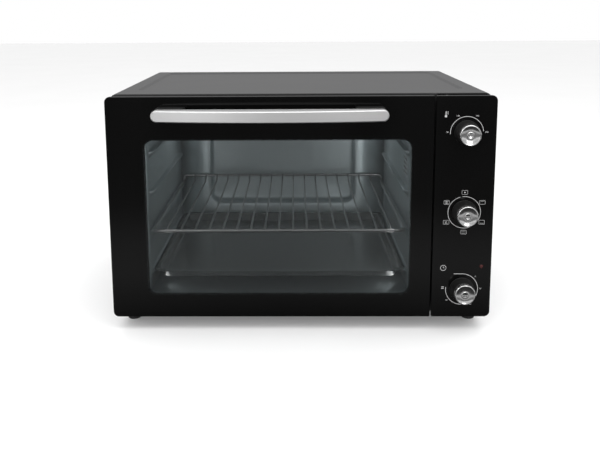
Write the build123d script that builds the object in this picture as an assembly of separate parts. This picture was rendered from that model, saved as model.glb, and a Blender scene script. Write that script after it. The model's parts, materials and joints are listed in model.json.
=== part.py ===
from build123d import *
import os
from math import acos, asin, cos, degrees, radians, sin, sqrt

os.makedirs("parts", exist_ok=True)

# A bench-top toaster oven, in millimetres. X is to the right as the user faces it, Y runs to the
# back and Z up. The origin is under the middle of the whole oven, on the surface that it stands on.

# Front: the door and the control panel together
front_width = 550.0
front_height = 325.0
front_corner = 8.0
panel_width = 85.0
door_gap = 2.0
glass_thickness = 4.0
glass_edge_round = 0.8

# Casing
foot_height = 20.0
case_setback = 20.0
case_depth = 365.0
case_inset = 3.5
case_rise = 1.5
case_corner = 9.0
cover_sheet = 1.0
cover_flange = 12.0
base_sheet = 1.2
rear_sheet = 1.0
top_panel_side_margin = 28.0
top_panel_front_margin = 50.0
top_panel_rear_margin = 12.0
top_panel_depth = 2.5
top_panel_slope = 4.5
top_panel_corner = 14.0
side_vent_length = 26.0
side_vent_height = 3.2
side_vent_pitch = 9.0
side_vent_rows = 7
side_vent_columns = 3
side_vent_gap = 12.0
side_vent_top_margin = 40.0
side_vent_rear_margin = 60.0
rear_vent_length = 44.0
rear_vent_height = 3.5
rear_vent_pitch = 10.0
rear_vent_rows = 9
rear_vent_gap = 8.0
rear_vent_groups = 3
rear_vent_group_pitch = 150.0
rear_vent_centre_height = 201.5
base_vent_length = 60.0
base_vent_width = 5.0
base_vent_pitch = 18.0
base_vent_columns = 12
base_vent_offset = 70.0
cut_past = 1.0
slot_end_flat = 0.1

# Feet, wall spacers and screws
foot_top_radius = 11.0
foot_bottom_radius = 9.5
foot_side_margin = 20.5
foot_front_margin = 27.0
foot_rear_margin = 32.0
foot_round = 1.2
foot_bore_radius = 5.0
foot_web = 6.0
spacer_depth = 15.0
spacer_radius = 13.0
spacer_taper = 2.0
spacer_bore_radius = 4.0
spacer_web = 6.0
spacer_side_margin = 95.0
spacer_top_margin = 46.0
screw_head_radius = 3.6
screw_head_height = 2.0
screw_head_round = 0.8
screw_cross_reach = 2.4
screw_cross_half_width = 0.4
screw_radius = 1.9
screw_length = 7.0
rear_screw_first_height = 60.0
rear_screw_last_drop = 45.5
rear_screws_per_side = 3
rear_screw_top_offset = 120.0
base_screw_offset = 90.0

# Oven cavity
cavity_left_margin = 51.0
cavity_right_margin = 28.0
cavity_floor_height = 28.0
cavity_top_margin = 35.0
cavity_rear_gap = 29.0
mouth_corner = 3.0
liner_sheet = 0.8
recess_margin = 57.0
recess_bottom = 52.0
recess_top_margin = 28.0
recess_depth = 20.0
recess_corner = 16.0
recess_edge_round = 6.0
runner_levels = 4
first_runner_height = 32.0
last_runner_drop = 51.5
runner_reach = 8.0
runner_lip = 2.8
runner_height = 11.2
runner_end_margin = 14.0
perforation_radius = 1.5
perforation_pitch = 7.0
perforation_rows = 4
perforation_columns = 5
perforation_front_margin = 44.0
perforation_top_margin = 70.0

# Heaters
heater_radius = 3.3
heater_front_offset = 90.0
heater_rear_offset = 245.0
lower_heater_height = 10.0
upper_heater_drop = 18.0
heater_end_reach = 9.0
heater_terminal_reach = 4.0
heater_terminal_radius = 1.2
insulator_radius = 6.0
insulator_flange_radius = 9.0
insulator_flange = 3.0

# Wire rack
rack_side_clearance = 3.0
rack_frame_radius = 2.5
rack_front_gap = 8.0
rack_rear_gap = 6.0
rack_bend = 5.0
rack_rear_rise = 12.0
rack_rear_rise_run = 6.0
rack_bar_setback = 24.0
rack_wire_radius = 1.4
rack_wire_pitch = 20.6
rack_wire_margin = 20.0
rack_wire_sink = 0.4
rack_wire_overhang = 4.0
rack_wire_drop_run = 9.0
rack_wire_bend = 4.0
rack_runner = 1

# Baking tray
tray_side_clearance = 3.5
tray_front_gap = 5.0
tray_rear_gap = 4.0
tray_depth = 13.0
tray_sheet = 0.8
tray_rim = 9.0
tray_slope = 5.0
tray_corner = 18.0
tray_mouth_corner = 13.0
tray_floor_corner = 9.0

# Door
door_frame_depth = 12.0
door_frame_inset = 3.0
door_sheet = 1.0
door_meeting_corner = 1.5
window_left_margin = 51.5
window_right_margin = 30.0
window_bottom_margin = 33.7
window_top_margin = 61.1
window_corner = 14.5
frame_window_clearance = 6.0
inner_glass_thickness = 3.0
inner_glass_lap = 7.0
inner_glass_corner = 4.0
clip_length = 22.0
clip_width = 8.0
clip_lap = 4.0
clip_offset = 80.0
clip_sheet = 1.0

# Door hinge and stays
hinge_setback = 10.0
hinge_height = 8.0
door_opening = 82.0
hinge_pin_radius = 3.0
hinge_pin_clearance = 0.06
hinge_pin_head = 0.8
hinge_pin_head_length = 2.0
hinge_pin_end_gap = 4.0
hinge_ear_gap = 4.0
hinge_ear_radius = 5.0
hinge_ear_thickness = 3.0
hinge_notch_width = 12.0
hinge_notch_height = 22.0
hinge_base_width = 9.0
hinge_base_height = 26.0
hinge_base_sheet = 1.5
stay_radius = 120.0
stay_width = 8.0
stay_thickness = 2.0
stay_hook = 4.0
stay_stop_gap = 0.5
stay_foot_width = 18.0
stay_foot_height = 24.0
stay_foot_sheet = 1.5
stay_slot_clearance = 2.0
left_stay_offset = 22.0
right_stay_offset = 13.0
spring_length = 92.0
spring_radius = 4.5
spring_wire = 2.2
spring_gap = 4.0
spring_rise = 2.0
spring_tab_half_width = 6.0
spring_tab_rise = 9.0

# Handle
handle_left_margin = 71.0
handle_right_margin = 68.0
handle_height = 16.0
handle_centre_drop = 23.0
handle_reach = 50.0
handle_end_reach = 37.0
handle_back_gap = 24.0
handle_edge_round = 1.6
handle_block_length = 40.0
handle_block_height = 17.0
handle_block_end = 3.0
handle_block_round = 2.5
handle_screw_radius = 2.0
handle_screw_depth = 9.0
handle_screw_head_radius = 4.0
handle_screw_head = 2.0
handle_access_radius = 5.0

# Controls
control_column = 41.7
lowest_knob_height = 42.2
highest_knob_drop = 52.8
knob_reach = 25.0
knob_skirt_radius = 18.0
knob_neck_radius = 15.6
knob_cap_radius = 14.8
knob_cap_depth = 7.0
knob_cap_round = 1.4
knob_dish_depth = 1.6
knob_dish_margin = 1.8
knob_button_radius = 5.0
knob_button_height = 0.8
knob_button_round = 0.5
knob_dish_floor = 1.5
knob_panel_gap = 0.6
knob_spigot_length = 4.0
knob_spigot_inset = 3.0
knob_edge_round = 0.8
shaft_radius = 3.0
shaft_flat_depth = 1.2
shaft_hole_radius = 5.0
shaft_clearance = 0.06
shaft_engagement = 12.0
shaft_knob_depth = 13.0
shaft_end_gap = 0.5
lamp_radius = 2.5
lamp_clearance = 0.1
lamp_offset = 27.5
lamp_rise = 34.5
lamp_rim = 0.4
neon_radius = 3.0
neon_length = 16.0
neon_lead_length = 5.0
neon_lead_radius = 1.0
bracket_inset = 5.0
bracket_sheet = 1.0
frame_bracket_gap = 1.0
shield_gap = 24.0
shield_sheet = 0.8
shield_top_gap = 8.0
shield_rear_gap = 1.0
shield_hole_clearance = 1.5
shield_slots = 5
shield_slot_pitch = 50.0
shield_slot_length = 30.0
shield_slot_height = 6.0
shield_slot_rise = 12.0
thermostat_width = 42.0
thermostat_height = 26.0
thermostat_depth = 30.0
selector_width = 46.0
selector_height = 44.0
selector_depth = 34.0
timer_width = 54.0
timer_height = 58.0
timer_depth = 32.0
switch_corner = 3.0
switch_tab_width = 6.4
switch_tab_length = 8.0
switch_tab_sheet = 0.8
switch_tab_rise = 5.0
bell_radius = 19.0
bell_crown_radius = 13.0
bell_height = 9.0
bell_gap = 8.0
bell_drop = 8.0
bell_sheet = 1.2
bell_post_radius = 2.0
bulb_radius = 2.5
bulb_length = 90.0
bulb_setback = 20.0
bulb_start_gap = 14.0
capillary_radius = 1.0
capillary_bend = 3.5
capillary_inset = 6.0
capillary_clearance = 0.5
capillary_drop = 4.0
bulb_wall_gap = 7.0
bulb_ceiling_gap = 12.0
terminal_width = 40.0
terminal_depth = 18.0
terminal_height = 16.0
terminal_side_gap = 8.0
terminal_rear_gap = 70.0
terminal_poles = 3
terminal_pitch = 12.0
terminal_hole_radius = 2.5
terminal_hole_depth = 5.0
wire_radius = 2.0
wire_bend = 12.0
wire_first_run = 40.0
wire_run_step = 22.0
wire_slant = 60.0
timer_wire_drop = 16.0
switch_wire_drop = 8.0
gland_radius = 8.0
gland_flange_radius = 11.5
gland_flange = 4.0
gland_taper = 1.5
gland_length = 16.0
gland_bore_radius = 4.0
gland_side_margin = 52.0
gland_height = 42.0

# Planes and edges that the pieces share
total_depth = handle_reach + case_setback + case_depth + rear_sheet + spacer_depth
glass_y = handle_reach - total_depth / 2
glass_back_y = glass_y + glass_thickness
door_back_y = glass_back_y + door_frame_depth
case_front_y = glass_y + case_setback
frame_back_y = case_front_y + cover_sheet
case_back_y = case_front_y + case_depth
base_z = foot_height
base_top_z = base_z + base_sheet
front_top_z = base_z + front_height
case_top_z = front_top_z + case_rise
case_side_x = front_width / 2 - case_inset
cover_inner_x = case_side_x - cover_sheet
cover_inner_z = case_top_z - cover_sheet
door_left_x = -front_width / 2
panel_right_x = front_width / 2
panel_left_x = panel_right_x - panel_width
door_right_x = panel_left_x - door_gap
bracket_left_x = panel_left_x + bracket_inset
window_left_x = door_left_x + window_left_margin
window_right_x = door_right_x - window_right_margin
window_bottom_z = base_z + window_bottom_margin
window_top_z = front_top_z - window_top_margin
cavity_left_x = door_left_x + cavity_left_margin
cavity_right_x = door_right_x - cavity_right_margin
cavity_floor_z = base_z + cavity_floor_height
cavity_top_z = front_top_z - cavity_top_margin
cavity_back_y = case_back_y - cavity_rear_gap
hinge_y = glass_y + hinge_setback
hinge_z = base_z + hinge_height
shield_x = cavity_right_x + shield_gap
knob_x = panel_right_x - control_column
knob_names = ["timer", "function", "temperature"]
knob_pitch = (front_height - lowest_knob_height - highest_knob_drop) / (len(knob_names) - 1)
knob_heights = [base_z + lowest_knob_height + knob_pitch * i for i in range(len(knob_names))]
left_stay_x = cavity_left_x - left_stay_offset
right_stay_x = cavity_right_x + right_stay_offset
runner_span = cavity_top_z - last_runner_drop - cavity_floor_z - first_runner_height
runner_pitch = runner_span / (runner_levels - 1)
runner_heights = [cavity_floor_z + first_runner_height + runner_pitch * i for i in range(runner_levels)]
bracket_back_y = case_front_y + bracket_sheet


def block(x, y, z):
    """A box between two limits on each axis."""
    centre = Pos((x[0] + x[1]) / 2, (y[0] + y[1]) / 2, (z[0] + z[1]) / 2)
    return centre * Box(x[1] - x[0], y[1] - y[0], z[1] - z[0])


def rod_x(x, y, z, radius):
    """A round bar along X between two limits."""
    return Pos((x[0] + x[1]) / 2, y, z) * Rot(0, 90, 0) * Cylinder(radius, x[1] - x[0])


def rod_y(x, y, z, radius):
    """A round bar along Y between two limits."""
    return Pos(x, (y[0] + y[1]) / 2, z) * Rot(90, 0, 0) * Cylinder(radius, y[1] - y[0])


def rod_z(x, y, z, radius):
    """A round bar along Z between two limits."""
    return Pos(x, y, (z[0] + z[1]) / 2) * Cylinder(radius, z[1] - z[0])


def rounded_block(x, y, z, radius, axis=Axis.Y):
    """A box whose four edges along one axis are rounded."""
    solid = block(x, y, z)
    return fillet(solid.edges().filter_by(axis), radius)


def cone_y(x, z, y_front, y_back, front_radius, back_radius):
    """A cone along Y, from its front radius to its back radius."""
    profile = Polyline(
        (0, y_front), (front_radius, y_front), (back_radius, y_back), (0, y_back), close=True
    )
    return Pos(x, 0, z) * revolve(make_face(profile), Axis.Y)


def edges_at(solid, axis, x=None, z=None):
    """Edges along one axis that lie at the given X or Z."""
    edges = solid.edges().filter_by(axis)
    if x is not None:
        edges = edges.filter_by(lambda edge: abs(edge.center().X - x) < 0.01)
    if z is not None:
        edges = edges.filter_by(lambda edge: abs(edge.center().Z - z) < 0.01)
    return edges


def tube(points, radius, bend):
    """A round wire along straight runs joined by arcs."""
    path = FilletPolyline(*points, radius=bend)
    start = Plane(origin=path @ 0, z_dir=path % 0)
    return sweep(start * Circle(radius), path=path)


def centred_steps(count, pitch):
    """Evenly spaced offsets about zero."""
    return [pitch * (i - (count - 1) / 2) for i in range(count)]


# ---- Casing ----


def top_panel(top):
    """The sunk panel of the top, with sloped sides, from a given height down."""
    width = 2 * (case_side_x - top_panel_side_margin)
    front = case_front_y + top_panel_front_margin
    back = case_back_y - top_panel_rear_margin
    middle = (front + back) / 2
    upper = RectangleRounded(width, back - front, top_panel_corner)
    lower = RectangleRounded(
        width - 2 * top_panel_slope, back - front - 2 * top_panel_slope, top_panel_corner - top_panel_slope
    )
    return loft(Sketch() + [Pos(0, middle, top - top_panel_depth) * lower, Pos(0, middle, top) * upper])


def make_outer_cover():
    """One folded sheet: the top, both sides and the flanges along the rear and the bottom."""
    span_y = (case_front_y, case_back_y)
    outer = block((-case_side_x, case_side_x), span_y, (base_z, case_top_z))
    outer = fillet(edges_at(outer, Axis.Y, z=case_top_z), case_corner)
    inner_y = (case_front_y - cut_past, case_back_y - cover_sheet)
    inner = block((-cover_inner_x, cover_inner_x), inner_y, (base_z - cut_past, cover_inner_z))
    inner = fillet(edges_at(inner, Axis.Y, z=cover_inner_z), case_corner - cover_sheet)
    rear_half = cover_inner_x - cover_flange
    rear_y = (case_back_y - cover_sheet - cut_past, case_back_y + cut_past)
    rear_z = (base_z - cut_past, cover_inner_z - cover_flange)
    rear_opening = block((-rear_half, rear_half), rear_y, rear_z)
    cover = outer - inner - rear_opening
    flange_z = (base_top_z, base_top_z + cover_sheet)
    flange_y = (frame_back_y, case_back_y - cover_sheet)
    for side in (-1, 1):
        edges = sorted((side * rear_half, side * cover_inner_x))
        cover = cover + block(edges, flange_y, flange_z)
    cover = cover + top_panel(cover_inner_z) - top_panel(case_top_z)
    vents = []
    vent_top = cover_inner_z - side_vent_top_margin
    for side in (-1, 1):
        for row in range(side_vent_rows):
            for column in range(side_vent_columns):
                y = case_back_y - side_vent_rear_margin - column * (side_vent_length + side_vent_gap)
                z = vent_top - row * side_vent_pitch
                outside = side * (case_side_x + cut_past)
                inside = side * (cover_inner_x - cut_past)
                vents.append(
                    rounded_block(
                        sorted((inside, outside)),
                        (y - side_vent_length / 2, y + side_vent_length / 2),
                        (z - side_vent_height / 2, z + side_vent_height / 2),
                        side_vent_height / 2 - slot_end_flat,
                        Axis.X,
                    )
                )
    return cover - vents


def rear_screw_places():
    """Where the rear cover is screwed to the outer cover's flange."""
    side = cover_inner_x - cover_flange / 2
    top = cover_inner_z - cover_flange / 2
    lowest = base_z + rear_screw_first_height
    pitch = (cover_inner_z - rear_screw_last_drop - lowest) / (rear_screws_per_side - 1)
    heights = [lowest + i * pitch for i in range(rear_screws_per_side)]
    sides = [(s * side, z) for s in (-1, 1) for z in heights]
    return sides + [(s * rear_screw_top_offset, top) for s in (-1, 1)]


def gland_place():
    """The X and Z of the cord's inlet bush."""
    return case_side_x - gland_side_margin, base_z + gland_height


def make_rear_cover():
    """A flat vented sheet behind the outer cover's rear flange."""
    plate = rounded_block(
        (-case_side_x + 1, case_side_x - 1),
        (case_back_y, case_back_y + rear_sheet),
        (base_z, case_top_z - 1),
        case_corner - 1,
    )
    cuts = []
    span = (case_back_y - cut_past, case_back_y + rear_sheet + cut_past)
    columns = [
        group_x + shift
        for group_x in centred_steps(rear_vent_groups, rear_vent_group_pitch)
        for shift in centred_steps(2, rear_vent_length + rear_vent_gap)
    ]
    for x in columns:
        for dz in centred_steps(rear_vent_rows, rear_vent_pitch):
            z = base_z + rear_vent_centre_height + dz
            cuts.append(
                rounded_block(
                    (x - rear_vent_length / 2, x + rear_vent_length / 2),
                    span,
                    (z - rear_vent_height / 2, z + rear_vent_height / 2),
                    rear_vent_height / 2 - slot_end_flat,
                )
            )
    gland_x, gland_z = gland_place()
    cuts.append(rod_y(gland_x, span, gland_z, gland_radius))
    for x, z in rear_screw_places():
        cuts.append(rod_y(x, span, z, screw_radius))
    return plate - cuts


def make_rear_screws():
    """Pan-head screws through the rear cover into the outer cover's flange."""
    back = case_back_y + rear_sheet
    screws = []
    for x, z in rear_screw_places():
        head = rod_y(x, (back, back + screw_head_height), z, screw_head_radius)
        head = fillet(head.edges().sort_by(Axis.Y)[-1], screw_head_round)
        reach = (-screw_cross_reach, screw_cross_reach)
        narrow = (-screw_cross_half_width, screw_cross_half_width)
        depth = (back + screw_head_height / 2, back + screw_head_height + cut_past)
        slot = Pos(x, 0, z) * block(reach, depth, narrow)
        cross = Pos(x, 0, z) * block(narrow, depth, reach)
        shank = rod_y(x, (back - screw_length, back), z, screw_radius)
        screws.append(head + shank - slot - cross)
    return screws


def drill_cover(cover):
    """The flange holes that the rear screws and the base screws pass through."""
    span = (case_back_y - cover_sheet - cut_past, case_back_y + cut_past)
    holes = [rod_y(x, span, z, screw_radius) for x, z in rear_screw_places()]
    low = (base_top_z - cut_past, base_top_z + cover_sheet + cut_past)
    holes += [rod_z(x, y, low, screw_radius) for x, y in base_screw_places()]
    return cover - holes


def foot_places():
    """The four foot centres, by name."""
    x = front_width / 2 - foot_side_margin
    front = case_front_y + foot_front_margin
    rear = case_back_y - foot_rear_margin
    return {
        "front_left": (-x, front),
        "front_right": (x, front),
        "rear_left": (-x, rear),
        "rear_right": (x, rear),
    }


def base_screw_places():
    """Where the base plate is screwed to the outer cover's bottom flanges."""
    x = cover_inner_x - cover_flange / 2
    middle = (case_front_y + case_back_y) / 2
    return [(s * x, middle + s_y * base_screw_offset) for s in (-1, 1) for s_y in (-1, 1)]


def make_base_plate():
    """A flat vented floor sheet, with the two tabs that hold the door springs."""
    plate = block(
        (-cover_inner_x, cover_inner_x), (case_front_y, case_back_y - cover_sheet), (base_z, base_top_z)
    )
    through = (base_z - cut_past, base_top_z + cut_past)
    cuts = [rod_z(x, y, through, screw_radius) for x, y in foot_places().values()]
    cuts += [rod_z(x, y, through, screw_radius) for x, y in base_screw_places()]
    middle_x = (cavity_left_x + cavity_right_x) / 2
    middle_y = (case_front_y + case_back_y) / 2
    for dx in centred_steps(base_vent_columns, base_vent_pitch):
        for dy in (-base_vent_offset, base_vent_offset):
            x = middle_x + dx
            y = middle_y + dy
            cuts.append(
                rounded_block(
                    (x - base_vent_width / 2, x + base_vent_width / 2),
                    (y - base_vent_length / 2, y + base_vent_length / 2),
                    through,
                    base_vent_width / 2 - slot_end_flat,
                    Axis.Z,
                )
            )
    plate = plate - cuts
    tab_y = spring_start_y() + spring_length
    for x in (left_stay_x, right_stay_x):
        tab_x = (x - spring_tab_half_width, x + spring_tab_half_width)
        plate = plate + block(tab_x, (tab_y, tab_y + base_sheet), (base_z, hinge_z + spring_tab_rise))
    return plate


def make_base_screws():
    """Screws up through the base plate into the outer cover."""
    screws = []
    for x, y in base_screw_places():
        head = rod_z(x, y, (base_z - screw_head_height, base_z), screw_head_radius)
        head = fillet(head.edges().sort_by(Axis.Z)[0], screw_head_round)
        shank = rod_z(x, y, (base_z, base_z + screw_length), screw_radius)
        screws.append(head + shank)
    return screws


def make_foot(x, y):
    """A tapered rubber foot with a counterbore for its screw."""
    profile = Polyline(
        (0, 0), (foot_bottom_radius, 0), (foot_top_radius, foot_height), (0, foot_height), close=True
    )
    foot = revolve(Plane.XZ * make_face(profile), Axis.Z)
    foot = fillet(foot.edges().sort_by(Axis.Z)[0], foot_round)
    bore = rod_z(0, 0, (-cut_past, foot_height - foot_web), foot_bore_radius)
    hole = rod_z(0, 0, (0, foot_height + cut_past), screw_radius)
    return Pos(x, y, 0) * (foot - bore - hole)


def make_foot_screws():
    """One screw up through each foot and the base plate."""
    screws = []
    seat = foot_height - foot_web
    for x, y in foot_places().values():
        head = rod_z(x, y, (seat - screw_head_height, seat), screw_head_radius)
        shank = rod_z(x, y, (seat, seat + foot_web + screw_length / 2), screw_radius)
        screws.append(head + shank)
    return screws


def make_wall_spacer(side):
    """A round bumper that keeps the rear vents clear of a wall."""
    back = case_back_y + rear_sheet
    x = side * (case_side_x - spacer_side_margin)
    z = case_top_z - spacer_top_margin
    tip_radius = spacer_radius - spacer_taper
    spacer = cone_y(x, z, back, back + spacer_depth, spacer_radius, tip_radius)
    spacer = fillet(spacer.edges().sort_by(Axis.Y)[-1], spacer_taper)
    bore_y = (back + spacer_web, back + spacer_depth + cut_past)
    return spacer - rod_y(x, bore_y, z, spacer_bore_radius)


def make_front_frame():
    """The pressed sheet around the cavity mouth, behind the door."""
    plate = block(
        (-cover_inner_x, bracket_left_x - frame_bracket_gap),
        (case_front_y, frame_back_y),
        (base_top_z, cover_inner_z),
    )
    plate = fillet(edges_at(plate, Axis.Y, x=-cover_inner_x, z=cover_inner_z), case_corner - cover_sheet)
    mouth = rounded_block(
        (cavity_left_x, cavity_right_x),
        (case_front_y - cut_past, frame_back_y + cut_past),
        (cavity_floor_z, cavity_top_z),
        mouth_corner,
    )
    frame = plate - mouth
    reach = frame_back_y - hinge_y
    slot_z = hinge_z + sqrt(stay_radius**2 - reach**2)
    half_height = stay_width / 2 + stay_slot_clearance
    half_width = stay_thickness / 2 + stay_slot_clearance
    for x in (left_stay_x, right_stay_x):
        frame = frame - block(
            (x - half_width, x + half_width),
            (case_front_y - cut_past, frame_back_y + cut_past),
            (slot_z - half_height, slot_z + half_height),
        )
    return frame


# ---- Cavity ----


def runner_profile(side, z):
    """One pressed runner: a rib into the cavity, flat on top and hollow behind."""
    wall = cavity_left_x if side < 0 else cavity_right_x
    inward = 1 if side < 0 else -1
    front = frame_back_y + runner_end_margin
    back = cavity_back_y - runner_end_margin
    rib = Plane.XZ * make_face(
        Polyline(
            (wall, z),
            (wall + inward * runner_reach, z),
            (wall + inward * runner_reach, z - runner_lip),
            (wall, z - runner_height),
            close=True,
        )
    )
    rib = extrude(rib, -(back - front))
    rib = Pos(0, front, 0) * rib
    hollow_reach = runner_reach - liner_sheet
    groove = Plane.XZ * make_face(
        Polyline(
            (wall - inward * liner_sheet, z - liner_sheet),
            (wall + inward * hollow_reach, z - liner_sheet),
            (wall + inward * hollow_reach, z - runner_lip),
            (wall - inward * liner_sheet, z - runner_height),
            close=True,
        )
    )
    groove = extrude(groove, -(back - front - 2 * liner_sheet))
    groove = Pos(0, front + liner_sheet, 0) * groove
    return rib, groove


def heater_places():
    """Each heater's name, Y and Z."""
    front = frame_back_y + heater_front_offset
    rear = frame_back_y + heater_rear_offset
    low = cavity_floor_z + lower_heater_height
    high = cavity_top_z - upper_heater_drop
    return {
        "lower_heater_front": (front, low),
        "lower_heater_rear": (rear, low),
        "upper_heater_front": (front, high),
        "upper_heater_rear": (rear, high),
    }


def make_cavity_side(side):
    """A side wall with pressed runners and holes for the heater insulators."""
    inner = cavity_left_x if side < 0 else cavity_right_x
    outer = inner - liner_sheet if side < 0 else inner + liner_sheet
    wall = block(sorted((inner, outer)), (frame_back_y, cavity_back_y), (cavity_floor_z, cavity_top_z))
    for z in runner_heights:
        rib, groove = runner_profile(side, z)
        wall = wall + rib - groove
    holes = []
    for y, z in heater_places().values():
        holes.append(rod_x((inner - runner_reach, inner + runner_reach), y, z, insulator_radius))
    if side > 0:
        entry_x = (inner - cut_past, outer + cut_past)
        holes.append(rod_x(entry_x, *bulb_entry(), capillary_radius + capillary_clearance))
        for row in range(perforation_rows):
            for column in range(perforation_columns):
                y = frame_back_y + perforation_front_margin + column * perforation_pitch
                z = cavity_top_z - perforation_top_margin - row * perforation_pitch
                holes.append(rod_x(entry_x, y, z, perforation_radius))
    return wall - holes


def make_cavity_back():
    """The back wall, with a large recess pressed to the rear."""
    y = (cavity_back_y, cavity_back_y + liner_sheet)
    left = cavity_left_x - liner_sheet
    right = cavity_right_x + liner_sheet
    wall = block((left, right), y, (cavity_floor_z - liner_sheet, cavity_top_z + liner_sheet))
    recess_x = (cavity_left_x + recess_margin, cavity_right_x - recess_margin)
    recess_z = (cavity_floor_z + recess_bottom, cavity_top_z - recess_top_margin)
    pan = rounded_block(
        (recess_x[0] - liner_sheet, recess_x[1] + liner_sheet),
        (cavity_back_y, cavity_back_y + recess_depth + liner_sheet),
        (recess_z[0] - liner_sheet, recess_z[1] + liner_sheet),
        recess_corner + liner_sheet,
    )
    hollow = rounded_block(
        recess_x, (cavity_back_y - cut_past, cavity_back_y + recess_depth), recess_z, recess_corner
    )
    hollow = fillet(hollow.faces().sort_by(Axis.Y)[-1].edges(), recess_edge_round)
    pan = fillet(pan.faces().sort_by(Axis.Y)[-1].edges(), recess_edge_round)
    return wall + pan - hollow


def make_cavity_sheet(z):
    """The cavity's floor or ceiling."""
    return block(
        (cavity_left_x - liner_sheet, cavity_right_x + liner_sheet),
        (frame_back_y, cavity_back_y),
        z,
    )


def make_heater(y, z):
    """A straight heating rod across the cavity, with a terminal at each end."""
    left = cavity_left_x - liner_sheet - heater_end_reach
    right = cavity_right_x + liner_sheet + heater_end_reach
    ends = (left - heater_terminal_reach, right + heater_terminal_reach)
    return rod_x((left, right), y, z, heater_radius) + rod_x(ends, y, z, heater_terminal_radius)


def make_insulators():
    """Ceramic bushes that carry the heater ends through the side walls."""
    bushes = []
    for y, z in heater_places().values():
        for side in (-1, 1):
            wall = cavity_left_x if side < 0 else cavity_right_x
            outside = wall + side * liner_sheet
            body = rod_x(sorted((wall, outside)), y, z, insulator_radius)
            flange_x = sorted((outside, outside + side * insulator_flange))
            flange = rod_x(flange_x, y, z, insulator_flange_radius)
            bore_x = sorted((wall - side * cut_past, flange_x[0 if side < 0 else 1] + side * cut_past))
            bushes.append(body + flange - rod_x(bore_x, y, z, heater_radius))
    return Compound(bushes)


# ---- Rack and tray ----


def make_wire_rack():
    """A frame of thick wire with thin wires across it, dropped at the front bar."""
    left = cavity_left_x + rack_side_clearance + rack_frame_radius
    right = cavity_right_x - rack_side_clearance - rack_frame_radius
    front = frame_back_y + rack_front_gap
    back = cavity_back_y - rack_rear_gap
    z = runner_heights[rack_runner] + rack_frame_radius
    raised = z + rack_rear_rise
    rise_y = back - rack_rear_rise_run
    middle = (left + right) / 2
    half_path = [
        (middle, front, z),
        (left, front, z),
        (left, rise_y, z),
        (left, back, raised),
        (middle, back, raised),
    ]
    other_half = [(left + right - x, y, height) for x, y, height in half_path]
    rack = tube(half_path, rack_frame_radius, rack_bend)
    rack = rack + tube(other_half, rack_frame_radius, rack_bend)
    bar_y = back - rack_bar_setback
    rack = rack + rod_x((left, right), bar_y, z, rack_frame_radius)
    rack = rack + rod_x((left, right), (front + back) / 2, z, rack_frame_radius)
    wire_z = z + rack_frame_radius + rack_wire_radius - rack_wire_sink
    count = int((right - left - 2 * rack_wire_margin) / rack_wire_pitch) + 1
    for dx in centred_steps(count, rack_wire_pitch):
        path = [
            (middle + dx, bar_y + rack_wire_overhang, wire_z),
            (middle + dx, front + rack_wire_drop_run, wire_z),
            (middle + dx, front, z + rack_wire_sink),
        ]
        rack = rack + tube(path, rack_wire_radius, rack_wire_bend)
    return rack


def make_baking_tray():
    """A shallow enamelled tray that hangs on the lowest runners by its rim."""
    left = cavity_left_x + tray_side_clearance
    right = cavity_right_x - tray_side_clearance
    front = frame_back_y + tray_front_gap
    back = cavity_back_y - tray_rear_gap
    top = runner_heights[0] + tray_sheet
    x_mid = (left + right) / 2
    y_mid = (front + back) / 2
    width = right - left
    depth = back - front
    rim = rounded_block((left, right), (front, back), (top - tray_sheet, top), tray_corner, Axis.Z)
    mouth_x = width - 2 * tray_rim
    mouth_y = depth - 2 * tray_rim
    floor_x = mouth_x - 2 * tray_slope
    floor_y = mouth_y - 2 * tray_slope
    inside_top = Pos(x_mid, y_mid, top) * RectangleRounded(mouth_x, mouth_y, tray_mouth_corner)
    inside_floor_z = top - tray_depth
    inside_low = Pos(x_mid, y_mid, inside_floor_z) * RectangleRounded(floor_x, floor_y, tray_floor_corner)
    inside = loft(Sketch() + [inside_low, inside_top])
    shell_top = Pos(x_mid, y_mid, top - tray_sheet) * RectangleRounded(
        mouth_x + 2 * tray_sheet, mouth_y + 2 * tray_sheet, tray_mouth_corner + tray_sheet
    )
    shell_low = Pos(x_mid, y_mid, inside_floor_z - tray_sheet) * RectangleRounded(
        floor_x + 2 * tray_sheet, floor_y + 2 * tray_sheet, tray_floor_corner + tray_sheet
    )
    shell = loft(Sketch() + [shell_low, shell_top])
    return rim + shell - inside


# ---- Door ----


def make_door_glass():
    """The printed outer glass of the door."""
    glass = block((door_left_x, door_right_x), (glass_y, glass_back_y), (base_z, front_top_z))
    glass = fillet(edges_at(glass, Axis.Y, x=door_left_x), front_corner)
    glass = fillet(edges_at(glass, Axis.Y, x=door_right_x), door_meeting_corner)
    return chamfer(glass.faces().sort_by(Axis.Y)[0].edges(), glass_edge_round)


def frame_window():
    """The opening in the door's inner frame, as X and Z limits."""
    gap = frame_window_clearance
    return (
        (window_left_x - gap, window_right_x + gap),
        (window_bottom_z - gap, window_top_z + gap),
    )


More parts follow.
